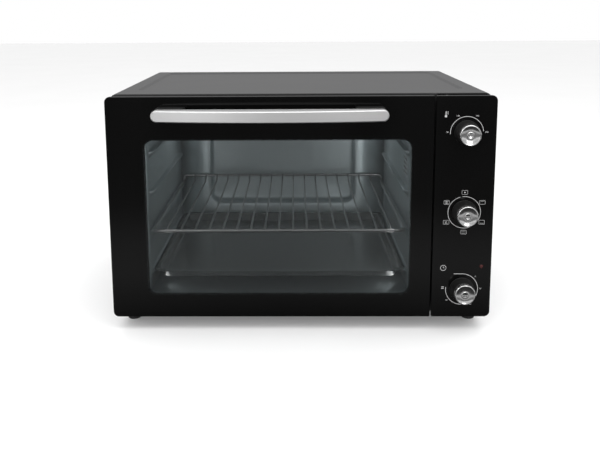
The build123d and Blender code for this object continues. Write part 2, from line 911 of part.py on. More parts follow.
def make_door_frame():
    """A pressed steel pan that closes the back of the door, open towards the glass."""
    x = (door_left_x + door_frame_inset, door_right_x - door_frame_inset)
    z = (base_z + door_frame_inset, front_top_z - door_frame_inset)
    pan = rounded_block(x, (glass_back_y, door_back_y), z, front_corner - door_frame_inset)
    hollow = rounded_block(
        (x[0] + door_sheet, x[1] - door_sheet),
        (glass_back_y - cut_past, door_back_y - door_sheet),
        (z[0] + door_sheet, z[1] - door_sheet),
        front_corner - door_frame_inset - door_sheet,
    )
    pan = pan - hollow
    win_x, win_z = frame_window()
    back_sheet_y = (door_back_y - door_sheet - cut_past, door_back_y + cut_past)
    pan = pan - rounded_block(win_x, back_sheet_y, win_z, window_corner)
    notch_z = (z[0] - cut_past, base_z + hinge_notch_height)
    depth = (glass_back_y - cut_past, door_back_y + cut_past)
    for corner, inward in ((x[0], 1), (x[1], -1)):
        inner = corner + inward * hinge_notch_width
        pan = pan - block(sorted((corner - inward * cut_past, inner)), depth, notch_z)
        lining = sorted((inner, inner + inward * door_sheet))
        pan = pan + block(lining, (glass_back_y, door_back_y), (z[0], notch_z[1]))
        roof = sorted((corner, inner + inward * door_sheet))
        pan = pan + block(roof, (glass_back_y, door_back_y), (notch_z[1], notch_z[1] + door_sheet))
        bore_x = sorted((inner - inward * cut_past, inner + inward * (door_sheet + cut_past)))
        pan = pan - rod_x(bore_x, hinge_y, hinge_z, hinge_pin_radius)
    for hole_x in handle_block_centres():
        pan = pan - rod_y(hole_x, back_sheet_y, handle_z(), handle_access_radius)
    return pan


def make_inner_glass():
    """The inner pane, behind the opening of the door's frame."""
    win_x, win_z = frame_window()
    lap = inner_glass_lap
    front = door_back_y - door_sheet - inner_glass_thickness
    return rounded_block(
        (win_x[0] - lap, win_x[1] + lap),
        (front, door_back_y - door_sheet),
        (win_z[0] - lap, win_z[1] + lap),
        inner_glass_corner,
    )


def make_glass_clips():
    """Folded clips that hold the inner pane to the frame."""
    win_x, win_z = frame_window()
    lap = inner_glass_lap
    back = door_back_y - door_sheet
    front = back - inner_glass_thickness
    middle = (win_z[0] + win_z[1]) / 2
    clips = []
    for edge, outward in ((win_x[0] - lap, -1), (win_x[1] + lap, 1)):
        for z in (middle - clip_offset, middle + clip_offset):
            z_span = (z - clip_length / 2, z + clip_length / 2)
            over_x = sorted((edge - outward * clip_lap, edge + outward * clip_sheet))
            over = block(over_x, (front - clip_sheet, front), z_span)
            side = block(sorted((edge, edge + outward * clip_sheet)), (front - clip_sheet, back), z_span)
            tab_x = sorted((edge, edge + outward * clip_width))
            tab = block(tab_x, (back - clip_sheet, back), z_span)
            clips.append(over + side + tab)
    return Compound(clips)


def handle_z():
    """The height of the handle's middle."""
    return front_top_z - handle_centre_drop


def handle_ends():
    """The X of the handle's two ends."""
    return door_left_x + handle_left_margin, door_right_x - handle_right_margin


def handle_block_centres():
    """The X of the two blocks that hold the handle."""
    left, right = handle_ends()
    offset = handle_block_end + handle_block_length / 2
    return left + offset, right - offset


def make_handle_bar():
    """A bar with a bowed front, a flat back and round ends."""
    left, right = handle_ends()
    middle = (left + right) / 2
    back = glass_y - handle_back_gap
    end = glass_y - handle_end_reach
    bow = glass_y - handle_reach
    front = ThreePointArc((left, end), (middle, bow), (right, end))
    rest = Polyline((right, end), (right, back), (left, back), (left, end))
    plan = make_face(Wire([front] + list(rest.edges())))
    z = handle_z()
    bar = Pos(0, 0, z - handle_height / 2) * extrude(plan, handle_height)
    outline = Pos(middle, z) * SlotOverall(right - left, handle_height)
    bar = bar & extrude(Plane.XZ.offset(handle_reach + cut_past - glass_y) * outline, -handle_reach)
    front_edges = bar.edges().filter_by(lambda edge: edge.center().Y < end + handle_edge_round)
    bar = fillet(front_edges, handle_edge_round)
    for x in handle_block_centres():
        bar = bar - rod_y(x, (back - handle_screw_depth, back + cut_past), z, handle_screw_radius)
    return bar


def make_handle_block(x):
    """A dark block between the handle bar and the glass."""
    z = handle_z()
    half = handle_block_length / 2
    y = (glass_y - handle_back_gap, glass_y)
    body = block((x - half, x + half), y, (z - handle_block_height / 2, z + handle_block_height / 2))
    body = fillet(body.edges().filter_by(Axis.Y), handle_block_round)
    return body - rod_y(x, (y[0] - cut_past, y[1] + cut_past), z, handle_screw_radius)


def drill_for_handle(glass):
    """The holes that the handle screws pass through."""
    holes = [
        rod_y(x, (glass_y - cut_past, glass_back_y + cut_past), handle_z(), handle_screw_radius)
        for x in handle_block_centres()
    ]
    return glass - holes


def make_handle_screws():
    """Long screws from behind the glass, through the blocks into the bar."""
    z = handle_z()
    tip = glass_y - handle_back_gap - handle_screw_depth
    screws = []
    for x in handle_block_centres():
        head_y = (glass_back_y, glass_back_y + handle_screw_head)
        head = rod_y(x, head_y, z, handle_screw_head_radius)
        screws.append(head + rod_y(x, (tip, glass_back_y), z, handle_screw_radius))
    return Compound(screws)


def hinge_sides():
    """For each hinge: the notch's inner wall and the way towards the door's outer edge."""
    left = door_left_x + door_frame_inset + hinge_notch_width
    right = door_right_x - door_frame_inset - hinge_notch_width
    return {"left": (left, -1), "right": (right, 1)}


def make_hinge_pin(wall, outward):
    """A shouldered pin riveted in the wall of the frame's notch."""
    inside = wall - outward * door_sheet
    tip = wall + outward * (hinge_notch_width - hinge_pin_end_gap)
    pin = rod_x(sorted((inside, tip)), hinge_y, hinge_z, hinge_pin_radius)
    head_x = sorted((inside, inside - outward * hinge_pin_head_length))
    return pin + rod_x(head_x, hinge_y, hinge_z, hinge_pin_radius + hinge_pin_head)


def make_hinge_bracket(wall, outward):
    """An ear on the front frame that carries the hinge pin."""
    ear_start = wall + outward * hinge_ear_gap
    ear_x = sorted((ear_start, ear_start + outward * hinge_ear_thickness))
    round_end = rod_x(ear_x, hinge_y, hinge_z, hinge_ear_radius)
    arm_z = (hinge_z - hinge_ear_radius, hinge_z + hinge_ear_radius)
    arm = block(ear_x, (hinge_y, case_front_y), arm_z)
    base_x = sorted((ear_start, ear_start + outward * hinge_base_width))
    base_y = (case_front_y - hinge_base_sheet, case_front_y)
    base = block(base_x, base_y, (base_top_z, base_top_z + hinge_base_height))
    bore_x = (ear_x[0] - cut_past, ear_x[1] + cut_past)
    bore = rod_x(bore_x, hinge_y, hinge_z, hinge_pin_radius + hinge_pin_clearance)
    return round_end + arm + base - bore


def ring_sector(x, inner, outer, start, end, thickness):
    """A flat sector about the hinge axis. Angles are from the +Y direction, towards +Z."""
    def at(radius, angle):
        return (hinge_y + radius * cos(radians(angle)), hinge_z + radius * sin(radians(angle)))

    middle = (start + end) / 2
    outer_arc = ThreePointArc(at(outer, start), at(outer, middle), at(outer, end))
    end_line = Line(at(outer, end), at(inner, end))
    inner_arc = ThreePointArc(at(inner, end), at(inner, middle), at(inner, start))
    start_line = Line(at(inner, start), at(outer, start))
    face = make_face(Wire([outer_arc, end_line, inner_arc, start_line]))
    return Pos(x - thickness / 2, 0, 0) * extrude(Plane.YZ * face, thickness)


def make_stay(x):
    """A curved stay on the door that slides through the front frame and stops the door."""
    inner = stay_radius - stay_width / 2
    outer = stay_radius + stay_width / 2
    top_angle = degrees(acos((door_back_y - hinge_y) / outer)) + 1
    arm = ring_sector(x, inner, outer, 0, top_angle, stay_thickness)
    stop_reach = frame_back_y + stay_stop_gap - hinge_y
    hook_angle = 90 - door_opening - degrees(asin(stop_reach / (inner - stay_hook)))
    hook = ring_sector(x, inner - stay_hook, outer + stay_hook, 0, hook_angle, stay_thickness)
    keep_x = (x - stay_foot_width / 2, x + stay_foot_width / 2)
    keep = block(keep_x, (door_back_y, case_back_y), (base_z, case_top_z))
    foot_z = hinge_z + stay_radius
    foot = block(
        (x - stay_foot_width / 2, x + stay_foot_width / 2),
        (door_back_y, door_back_y + stay_foot_sheet),
        (foot_z - stay_foot_height / 2, foot_z + stay_foot_height / 2),
    )
    return ((arm + hook) & keep) + foot


def spring_start_y():
    """Where the springs begin, just behind the stays' hooks."""
    return hinge_y + stay_radius + stay_width / 2 + stay_hook + spring_gap


def make_spring(x):
    """A close-wound tension spring with straight ends."""
    coils = int((spring_length - 2 * spring_radius) / spring_wire)
    start = spring_start_y() + spring_radius
    inner = spring_radius - spring_wire
    outline = [Line((inner, start), (spring_radius - spring_wire / 2, start))]
    for i in range(coils):
        y = start + i * spring_wire
        outline.append(
            ThreePointArc(
                (spring_radius - spring_wire / 2, y),
                (spring_radius, y + spring_wire / 2),
                (spring_radius - spring_wire / 2, y + spring_wire),
            )
        )
    end = start + coils * spring_wire
    outline.append(Line((spring_radius - spring_wire / 2, end), (inner, end)))
    outline.append(Line((inner, end), (inner, start)))
    body = revolve(make_face(Wire(outline)), Axis.Y)
    half = spring_wire / 2
    front_end = rod_y(0, (start - spring_radius, start + spring_wire), 0, half) + rod_x(
        (-half, spring_radius - half), start + half, 0, half
    )
    back_end = rod_y(0, (end - spring_wire, start - spring_radius + spring_length), 0, half) + rod_x(
        (-half, spring_radius - half), end - half, 0, half
    )
    return Pos(x, 0, hinge_z + spring_rise) * (body + front_end + back_end)


# ---- Controls ----


def lamp_place():
    """The X and Z of the power lamp."""
    return knob_x + lamp_offset, knob_heights[0] + lamp_rise


def make_control_panel():
    """The printed glass that covers the controls."""
    glass = block((panel_left_x, panel_right_x), (glass_y, glass_back_y), (base_z, front_top_z))
    glass = fillet(edges_at(glass, Axis.Y, x=panel_right_x), front_corner)
    glass = fillet(edges_at(glass, Axis.Y, x=panel_left_x), door_meeting_corner)
    glass = chamfer(glass.faces().sort_by(Axis.Y)[0].edges(), glass_edge_round)
    through = (glass_y - cut_past, glass_back_y + cut_past)
    for z in knob_heights:
        glass = glass - rod_y(knob_x, through, z, shaft_hole_radius)
    lamp_x, lamp_z = lamp_place()
    return glass - rod_y(lamp_x, through, lamp_z, lamp_radius + lamp_clearance)


def make_control_bracket():
    """The steel pan behind the control glass, which carries the switches."""
    x = (bracket_left_x, panel_right_x - bracket_inset)
    z = (base_z + bracket_inset, front_top_z - bracket_inset)
    pan = rounded_block(x, (glass_back_y, bracket_back_y), z, front_corner - bracket_inset)
    hollow = block(
        (x[0] + bracket_sheet, x[1] - bracket_sheet),
        (glass_back_y - cut_past, case_front_y),
        (z[0] + bracket_sheet, z[1] - bracket_sheet),
    )
    pan = pan - hollow
    through = (case_front_y - cut_past, bracket_back_y + cut_past)
    for height in knob_heights:
        pan = pan - rod_y(knob_x, through, height, shaft_hole_radius)
    lamp_x, lamp_z = lamp_place()
    return pan - rod_y(lamp_x, through, lamp_z, neon_radius)


def make_switch(width, height, depth, z):
    """A switch body behind the bracket, bored for its turning shaft."""
    body = rounded_block(
        (knob_x - width / 2, knob_x + width / 2),
        (bracket_back_y, bracket_back_y + depth),
        (z - height / 2, z + height / 2),
        switch_corner,
    )
    bore_y = (bracket_back_y - cut_past, bracket_back_y + shaft_engagement + shaft_end_gap)
    bore = rod_y(knob_x, bore_y, z, shaft_radius + shaft_clearance)
    back = bracket_back_y + depth
    tab_z = (z + switch_tab_rise, z + switch_tab_rise + switch_tab_sheet)
    tabs = []
    for dx in centred_steps(3, width / 3):
        tab_x = (knob_x + dx - switch_tab_width / 2, knob_x + dx + switch_tab_width / 2)
        tabs.append(block(tab_x, (back, back + switch_tab_length), tab_z))
    return (body - bore) + tabs


def bulb_entry():
    """The Y and Z where the capillary passes through the cavity wall."""
    return frame_back_y + heater_front_offset + bulb_setback, cavity_top_z - bulb_ceiling_gap


def make_capillary():
    """The thermostat's thin tube and the sensing bulb along the cavity wall."""
    y, z = bulb_entry()
    bulb_x = cavity_right_x - bulb_wall_gap
    bulb_start = y + bulb_start_gap
    bulb = rod_y(bulb_x, (bulb_start, bulb_start + bulb_length), z, bulb_radius)
    body_back = bracket_back_y + thermostat_depth
    start_z = knob_heights[2] - capillary_drop
    start_x = knob_x - thermostat_width / 2 + capillary_inset
    path = [
        (start_x, body_back, start_z),
        (start_x, y, start_z),
        (start_x, y, z),
        (bulb_x, y, z),
        (bulb_x, bulb_start + capillary_radius, z),
    ]
    return bulb + tube(path, capillary_radius, capillary_bend)


def make_bell():
    """The timer's bell, a thin domed cup."""
    z = knob_heights[0] - bell_drop
    start = bracket_back_y + timer_depth + bell_gap
    back = start + bell_height
    dome = cone_y(knob_x, z, start, back, bell_radius, bell_crown_radius)
    mouth_radius = bell_radius - bell_sheet
    cup = cone_y(knob_x, z, start, back - bell_sheet, mouth_radius, bell_crown_radius - bell_sheet)
    post = rod_y(knob_x, (bracket_back_y + timer_depth, back), z, bell_post_radius)
    return (dome - cup) + post


def make_lamp_lens():
    """The power lamp's lens, flush with the glass."""
    x, z = lamp_place()
    lens = rod_y(x, (glass_y - lamp_rim, glass_back_y), z, lamp_radius)
    return fillet(lens.edges().sort_by(Axis.Y)[0], lamp_rim)


def make_neon():
    """The neon tube behind the lens."""
    x, z = lamp_place()
    start = glass_back_y
    body = rod_y(x, (start, start + neon_length), z, neon_radius)
    lead_y = (start + neon_length, start + neon_length + neon_lead_length)
    return body + rod_y(x, lead_y, z, neon_lead_radius)


def make_shield():
    """The heat shield between the cavity and the controls."""
    x = (shield_x, shield_x + shield_sheet)
    back = case_back_y - cover_sheet - shield_rear_gap
    sheet = block(x, (frame_back_y, back), (base_top_z + cover_sheet, cover_inner_z - shield_top_gap))
    across = (x[0] - cut_past, x[1] + cut_past)
    sheet = sheet - rod_x(across, *bulb_entry(), capillary_radius + shield_hole_clearance)
    middle = (frame_back_y + back) / 2
    slot_z = (base_z + shield_slot_rise, base_z + shield_slot_rise + shield_slot_height)
    for dy in centred_steps(shield_slots, shield_slot_pitch):
        slot_y = (middle + dy - shield_slot_length / 2, middle + dy + shield_slot_length / 2)
        sheet = sheet - block(across, slot_y, slot_z)
    return sheet


def terminal_place():
    """The terminal block's left, front and foot."""
    x = shield_x + shield_sheet + terminal_side_gap
    return x, case_back_y - terminal_rear_gap, base_top_z + cover_sheet


def make_terminal_block():
    """The block where the supply joins the oven's own wires."""
    x, y, z = terminal_place()
    top = z + terminal_height
    body = block((x, x + terminal_width), (y, y + terminal_depth), (base_top_z, top))
    for dx in centred_steps(terminal_poles, terminal_pitch):
        centre = x + terminal_width / 2 + dx
        hole_z = (top - terminal_hole_depth, top + cut_past)
        body = body - rod_z(centre, y + terminal_depth / 2, hole_z, terminal_hole_radius)
    return body


def make_wiring():
    """The wires from the terminal block to each switch."""
    x, y, z = terminal_place()
    exit_z = z + terminal_height / 2
    depths = [timer_depth, selector_depth, thermostat_depth]
    slants = [wire_slant, 0, 0]
    drops = [timer_wire_drop, switch_wire_drop, switch_wire_drop]
    wires = []
    for i, height in enumerate(knob_heights):
        column = x + terminal_side_gap + terminal_pitch * i
        turn_y = y - wire_first_run - wire_run_step * i
        target_z = height - drops[i]
        path = [
            (column, y, exit_z),
            (column, turn_y, exit_z),
            (column, turn_y - slants[i], target_z),
            (column, bracket_back_y + depths[i], target_z),
        ]
        wires.append(tube(path, wire_radius, wire_bend))
    return Compound(wires)


def make_gland():
    """The flanged bush where a supply cord enters the rear cover."""
    x, z = gland_place()
    back = case_back_y + rear_sheet
    body = rod_y(x, (back - gland_length + gland_flange, back), z, gland_radius)
    rim_radius = gland_flange_radius - gland_taper
    flange = cone_y(x, z, back, back + gland_flange, gland_flange_radius, rim_radius)
    bore = rod_y(x, (back - gland_length, back + gland_flange + cut_past), z, gland_bore_radius)
    return body + flange - bore


# ---- Knobs ----


def make_shaft(z):
    """A turning shaft with a flat where the knob grips it."""
    front = glass_y - knob_panel_gap - shaft_knob_depth
    back = bracket_back_y + shaft_engagement
    shaft = rod_y(knob_x, (front, back), z, shaft_radius)
    across = (knob_x - shaft_radius - cut_past, knob_x + shaft_radius + cut_past)
    under = (z - shaft_radius - cut_past, z - shaft_radius + shaft_flat_depth)
    return shaft - block(across, (front - cut_past, glass_y - knob_panel_gap), under)


def make_knob(z):
    """The dark skirt of a knob, tapered towards its cap and bored for the shaft."""
    start = glass_y - knob_panel_gap
    neck = glass_y - knob_reach + knob_cap_depth
    body = cone_y(knob_x, z, neck, start, knob_neck_radius, knob_skirt_radius)
    body = fillet(body.edges().sort_by(Axis.Y)[0], knob_edge_round)
    spigot_y = (neck - knob_spigot_length, neck)
    spigot = rod_y(knob_x, spigot_y, z, knob_cap_radius - knob_spigot_inset)
    return body + spigot - make_shaft(z)


def make_knob_cap(z):
    """The bright dished cap on the front of a knob."""
    front = glass_y - knob_reach
    back = front + knob_cap_depth
    cap = rod_y(knob_x, (front, back), z, knob_cap_radius)
    cap = fillet(cap.edges().sort_by(Axis.Y)[0], knob_cap_round)
    dish_radius = knob_cap_radius - knob_dish_margin
    dish_back = front + knob_dish_depth
    dish = cone_y(knob_x, z, front, dish_back, dish_radius, knob_button_radius + knob_dish_floor)
    button_y = (dish_back - knob_button_height, dish_back + knob_button_height)
    button = rod_y(knob_x, button_y, z, knob_button_radius)
    button = fillet(button.edges().sort_by(Axis.Y)[0], knob_button_round)
    socket_y = (back - knob_spigot_length, back + cut_past)
    socket = rod_y(knob_x, socket_y, z, knob_cap_radius - knob_spigot_inset)
    return cap - dish + button - socket


# ---- Write every piece ----

pieces = {
    "outer_cover": drill_cover(make_outer_cover()),
    "rear_cover": make_rear_cover(),
    "case_screws": Compound(make_rear_screws() + make_base_screws() + make_foot_screws()),
    "base_plate": make_base_plate(),
    "wall_spacers": Compound([make_wall_spacer(-1), make_wall_spacer(1)]),
    "front_frame": make_front_frame(),
    "cavity_left_wall": make_cavity_side(-1),
    "cavity_right_wall": make_cavity_side(1),
    "cavity_back_wall": make_cavity_back(),
    "cavity_floor": make_cavity_sheet((cavity_floor_z - liner_sheet, cavity_floor_z)),
    "cavity_ceiling": make_cavity_sheet((cavity_top_z, cavity_top_z + liner_sheet)),
    "heater_insulators": make_insulators(),
    "wire_rack": make_wire_rack(),
    "baking_tray": make_baking_tray(),
    "door_outer_glass": drill_for_handle(make_door_glass()),
    "door_inner_frame": make_door_frame(),
    "door_inner_glass": make_inner_glass(),
    "inner_glass_clips": make_glass_clips(),
    "handle_bar": make_handle_bar(),
    "handle_screws": make_handle_screws(),
    "stay_left": make_stay(left_stay_x),
    "stay_right": make_stay(right_stay_x),
    "door_spring_left": make_spring(left_stay_x),
    "door_spring_right": make_spring(right_stay_x),
    "control_panel_glass": make_control_panel(),
    "control_bracket": make_control_bracket(),
    "timer_body": make_switch(timer_width, timer_height, timer_depth, knob_heights[0]),
    "function_switch": make_switch(selector_width, selector_height, selector_depth, knob_heights[1]),
    "thermostat_body": make_switch(
        thermostat_width, thermostat_height, thermostat_depth, knob_heights[2]
    ),
    "thermostat_bulb": make_capillary(),
    "timer_bell": make_bell(),
    "power_lamp_lens": make_lamp_lens(),
    "power_lamp_neon": make_neon(),
    "heat_shield": make_shield(),
    "terminal_block": make_terminal_block(),
    "internal_wiring": make_wiring(),
    "cord_inlet_bush": make_gland(),
}
for place, (foot_x, foot_y) in foot_places().items():
    pieces["foot_" + place] = make_foot(foot_x, foot_y)
for heater, (heater_y, heater_z) in heater_places().items():
    pieces[heater] = make_heater(heater_y, heater_z)
for side, block_x in zip(("left", "right"), handle_block_centres()):
    pieces["handle_block_" + side] = make_handle_block(block_x)
for side, (notch_wall, outward) in hinge_sides().items():
    pieces["hinge_pin_" + side] = make_hinge_pin(notch_wall, outward)
    pieces["hinge_bracket_" + side] = make_hinge_bracket(notch_wall, outward)
for control, height in zip(knob_names, knob_heights):
    pieces[control + "_knob"] = make_knob(height)
    pieces[control + "_knob_cap"] = make_knob_cap(height)
    pieces[control + "_shaft"] = make_shaft(height)

for name, shape in pieces.items():
    export_step(shape, f"parts/{name}.step")
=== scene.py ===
import json
import math
import bpy
import bmesh
import numpy as np
from mathutils import Matrix, Vector


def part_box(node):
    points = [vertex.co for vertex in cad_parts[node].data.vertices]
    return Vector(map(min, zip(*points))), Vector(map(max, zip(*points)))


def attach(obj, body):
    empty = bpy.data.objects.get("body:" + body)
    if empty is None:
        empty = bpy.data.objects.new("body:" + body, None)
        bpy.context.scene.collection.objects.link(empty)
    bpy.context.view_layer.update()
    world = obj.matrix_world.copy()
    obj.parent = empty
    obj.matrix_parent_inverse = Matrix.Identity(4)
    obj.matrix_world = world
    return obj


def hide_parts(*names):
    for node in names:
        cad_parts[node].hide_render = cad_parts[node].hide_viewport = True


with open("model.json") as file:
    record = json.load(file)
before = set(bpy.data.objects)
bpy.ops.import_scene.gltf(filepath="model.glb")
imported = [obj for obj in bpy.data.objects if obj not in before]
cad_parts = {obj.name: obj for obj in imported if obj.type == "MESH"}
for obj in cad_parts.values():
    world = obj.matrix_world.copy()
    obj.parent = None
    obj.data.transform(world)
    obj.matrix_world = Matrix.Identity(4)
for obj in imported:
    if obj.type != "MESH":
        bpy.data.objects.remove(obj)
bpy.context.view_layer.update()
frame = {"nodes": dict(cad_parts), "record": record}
scene = bpy.context.scene
mm = 0.001
print("frame loaded,", len(frame["nodes"]), "pieces")

# camera: a little above the oven, looking slightly down on it
cameraSet = {"place": (-0.0067, -1.2188, 0.4677), "down": 9.658, "turn": 0.768, "lean": 0.343}
cameraLens = {"lens": 45.167, "shiftX": 0.0238, "shiftY": -0.15}


def makeCamera():
    data = bpy.data.cameras.new("studioCamera")
    data.lens = cameraLens["lens"]
    data.sensor_width = 36
    data.shift_x = cameraLens["shiftX"]
    data.shift_y = cameraLens["shiftY"]
    data.clip_start, data.clip_end = 0.05, 60
    camera = bpy.data.objects.new("studioCamera", data)
    scene.collection.objects.link(camera)
    turn = Matrix.Rotation(math.radians(cameraSet["turn"]), 4, "Z")
    tilt = Matrix.Rotation(math.radians(90 - cameraSet["down"]), 4, "X")
    lean = Matrix.Rotation(math.radians(-cameraSet["lean"]), 4, "Z")
    camera.matrix_world = Matrix.Translation(cameraSet["place"]) @ turn @ tilt @ lean
    scene.camera = camera


makeCamera()


class Shade:
    # one output socket of a material's tree, so that shader maths reads as an expression
    def __init__(self, tree, socket):
        self.tree, self.socket = tree, socket

    def node(self, kind, settings=None, inputs=None, output=0):
        made = self.tree.nodes.new("ShaderNode" + kind)
        for name, value in (settings or {}).items():
            if name == "stops":
                ramp = made.color_ramp
                while len(ramp.elements) < len(value):
                    ramp.elements.new(0.5)
                for element, (position, colour) in zip(ramp.elements, value):
                    element.position, element.color = position, colour
            else:
                setattr(made, name, value)
        for key, value in (inputs or {}).items():
            if isinstance(value, Shade):
                self.tree.links.new(value.socket, made.inputs[key])
            else:
                made.inputs[key].default_value = value
        return Shade(self.tree, made.outputs[output])

    def maths(self, operation, *values):
        return self.node("Math", {"operation": operation}, dict(enumerate(values)))

    def __add__(self, other):
        return self.maths("ADD", self, other)

    def __sub__(self, other):
        return self.maths("SUBTRACT", self, other)

    def __mul__(self, other):
        return self.maths("MULTIPLY", self, other)

    def __abs__(self):
        return self.maths("ABSOLUTE", self, 0)

    __radd__ = __add__
    __rmul__ = __mul__

    def over(self, edge):
        return self.maths("MAXIMUM", self, edge)

    def root(self):
        return self.maths("SQRT", self)

    def wave(self):
        return self.maths("SINE", self)

    def fade(self, start, end):
        # 0 at start, 1 at end, smooth between
        settings = {"interpolation_type": "SMOOTHSTEP"}
        return self.node("MapRange", settings, {"Value": self, "From Min": start, "From Max": end})

    def stretched(self, x=1.0, y=1.0, z=1.0):
        return self.node("Mapping", None, {"Vector": self, "Scale": (x, y, z)})

    def noise(self, scale, detail=3.0, roughness=0.55, distortion=0.0):
        values = {"Vector": self, "Scale": scale, "Detail": detail}
        values.update({"Roughness": roughness, "Distortion": distortion})
        return self.node("TexNoise", None, values)

    def cells(self, scale, feature="F1", output="Distance"):
        return self.node("TexVoronoi", {"feature": feature}, {"Vector": self, "Scale": scale}, output)

    def blend(self, low, high):
        # a colour between two, by this value
        return self.node("Mix", {"data_type": "RGBA"}, {0: self, 6: low, 7: high}, 2)

    def bump(self, height, strength):
        # height in metres for a value that runs from 0 to 1
        return self.node("Bump", None, {"Strength": strength, "Distance": height, "Height": self})

    def axes(self):
        split = self.node("SeparateXYZ", None, {0: self})
        outputs = split.socket.node.outputs
        return [Shade(self.tree, outputs[i]) for i in range(3)]


def grey(value, red=1.0, green=1.0, blue=1.0):
    return (value * red, value * green, value * blue, 1.0)


def makeMaterial(name, recipe, **fixed):
    # recipe takes Object coordinates and returns what goes into the shader
    made = bpy.data.materials.new(name)
    made.use_nodes = True
    tree = made.node_tree
    tree.nodes.clear()
    start = Shade(tree, None)
    place = start.node("TexCoord", None, None, "Object")
    out = tree.nodes.new("ShaderNodeOutputMaterial")
    shader = start.node("BsdfPrincipled", None, {**fixed, **recipe(place)})
    tree.links.new(shader.socket, out.inputs["Surface"])
    return made


# finishes
paintLook = {"colour": 0.060, "roughness": 0.46, "peel": 0.00003}


def casingPaint(place):
    cloud = place.noise(7.0, 3)
    peel = place.noise(900.0, 2)
    fine = place.noise(3200.0, 1)
    low, high = paintLook["colour"] * 0.92, paintLook["colour"] * 1.08
    return {
        "Base Color": cloud.blend(grey(low, 1.0, 1.0, 1.02), grey(high, 1.0, 1.0, 1.02)),
        "Roughness": paintLook["roughness"] + cloud * 0.08 + fine * 0.04,
        "Normal": (peel + fine * 0.4).bump(paintLook["peel"], 0.6),
    }


def blackEnamel(place):
    cloud = place.noise(16.0, 4)
    peel = place.noise(600.0, 2)
    return {
        "Base Color": cloud.blend(grey(0.016), grey(0.026)),
        "Roughness": 0.24 + cloud * 0.12,
        "Normal": peel.bump(0.00003, 0.5),
    }


linerLook = {"colour": (0.40, 0.455, 0.470), "roughness": 0.25}


def cavitySteel(place):
    # aluminised sheet: soft clouds, fine rolling grain up the walls, a few faint smears
    cloud = place.noise(11.0, 5, 0.6, 0.4)
    grain = place.stretched(1, 1, 0.03).noise(900.0, 2)
    smear = place.stretched(1, 1, 0.35).noise(46.0, 3, 0.6, 0.8)
    red, green, blue = linerLook["colour"]
    low = (red * 0.82, green * 0.84, blue * 0.84, 1)
    high = (red * 1.12, green * 1.12, blue * 1.12, 1)
    return {
        "Base Color": (cloud * 0.7 + grain * 0.3).blend(low, high),
        "Roughness": linerLook["roughness"] + smear * 0.10 + grain * 0.05,
        "Normal": (grain * 0.4 + cloud * 0.6).bump(0.00025, 0.35),
    }


def galvanised(place):
    spangle = place.cells(70.0, "F1", "Color")
    tone = spangle.node("SeparateColor", None, {0: spangle})
    scratch = place.stretched(1, 1, 0.02).noise(700.0, 2)
    low, high = grey(0.42, 0.98, 1.0, 1.02), grey(0.56, 0.98, 1.0, 1.02)
    return {
        "Base Color": (tone * 0.7 + scratch * 0.3).blend(low, high),
        "Roughness": 0.34 + tone * 0.16,
        "Normal": scratch.bump(0.00002, 0.4),
    }


def platedSteel(place):
    cloud = place.noise(120.0, 3)
    return {
        "Base Color": cloud.blend(grey(0.48, 1.0, 1.0, 0.97), grey(0.62, 1.0, 1.0, 0.98)),
        "Roughness": 0.26 + cloud * 0.14,
        "Normal": place.noise(1500.0, 2).bump(0.00002, 0.4),
    }


def springSteel(place):
    cloud = place.noise(200.0, 3)
    return {
        "Base Color": cloud.blend(grey(0.20), grey(0.30)),
        "Roughness": 0.30 + cloud * 0.12,
        "Normal": place.noise(2500.0, 1).bump(0.00001, 0.4),
    }


def rackChrome(place):
    cloud = place.noise(60.0, 3)
    drawn = place.stretched(0.05, 0.05, 1).noise(2600.0, 1)
    return {
        "Base Color": cloud.blend(grey(0.30, 0.98, 1.0, 1.0), grey(0.42, 0.98, 1.0, 1.0)),
        "Roughness": 0.24 + cloud * 0.12,
        "Normal": drawn.bump(0.00001, 0.3),
    }


def trayEnamel(place):
    cloud = place.noise(6.0, 3)
    return {
        "Base Color": cloud.blend(grey(0.040, 0.90, 1.0, 1.0), grey(0.056, 0.90, 1.0, 1.0)),
        "Roughness": 0.17 + cloud * 0.08,
        "Normal": place.noise(90.0, 2).bump(0.00002, 0.25),
    }


def heaterSteel(place):
    band = place.noise(38.0, 4)
    return {
        "Base Color": band.blend(grey(0.09, 1.0, 0.97, 0.93), grey(0.20, 1.0, 0.98, 0.96)),
        "Roughness": 0.42 + band * 0.2,
        "Normal": place.noise(1200.0, 2).bump(0.00003, 0.5),
    }


def ceramic(place):
    grain = place.noise(900.0, 3)
    return {
        "Base Color": grain.blend(grey(0.62, 1.0, 0.98, 0.93), grey(0.74, 1.0, 0.98, 0.94)),
        "Roughness": 0.7 + grain * 0.15,
        "Normal": grain.bump(0.00006, 0.5),
    }


def footRubber(place):
    grain = place.noise(1500.0, 3)
    return {
        "Base Color": grain.blend(grey(0.012), grey(0.022)),
        "Roughness": 0.72 + grain * 0.16,
        "Normal": grain.bump(0.00008, 0.6),
    }


def blackPlastic(place):
    grain = place.cells(1500.0)
    cloud = place.noise(30.0, 3)
    return {
        "Base Color": cloud.blend(grey(0.005), grey(0.009)),
        "Roughness": 0.38 + cloud * 0.12,
        "Normal": grain.bump(0.00003, 0.4),
    }


def braidedSleeve(place):
    weave = place.node("TexWave", {"bands_direction": "DIAGONAL"}, {"Vector": place, "Scale": 700.0})
    return {
        "Base Color": weave.blend(grey(0.36, 1.0, 0.95, 0.84), grey(0.52, 1.0, 0.96, 0.86)),
        "Roughness": 0.7 + weave * 0.1,
        "Normal": weave.bump(0.0002, 0.6),
    }


def drawnCopper(place):
    cloud = place.noise(90.0, 3)
    return {
        "Base Color": cloud.blend((0.48, 0.24, 0.13, 1), (0.66, 0.36, 0.22, 1)),
        "Roughness": 0.28 + cloud * 0.18,
        "Normal": place.noise(1500.0, 2).bump(0.00002, 0.4),
    }


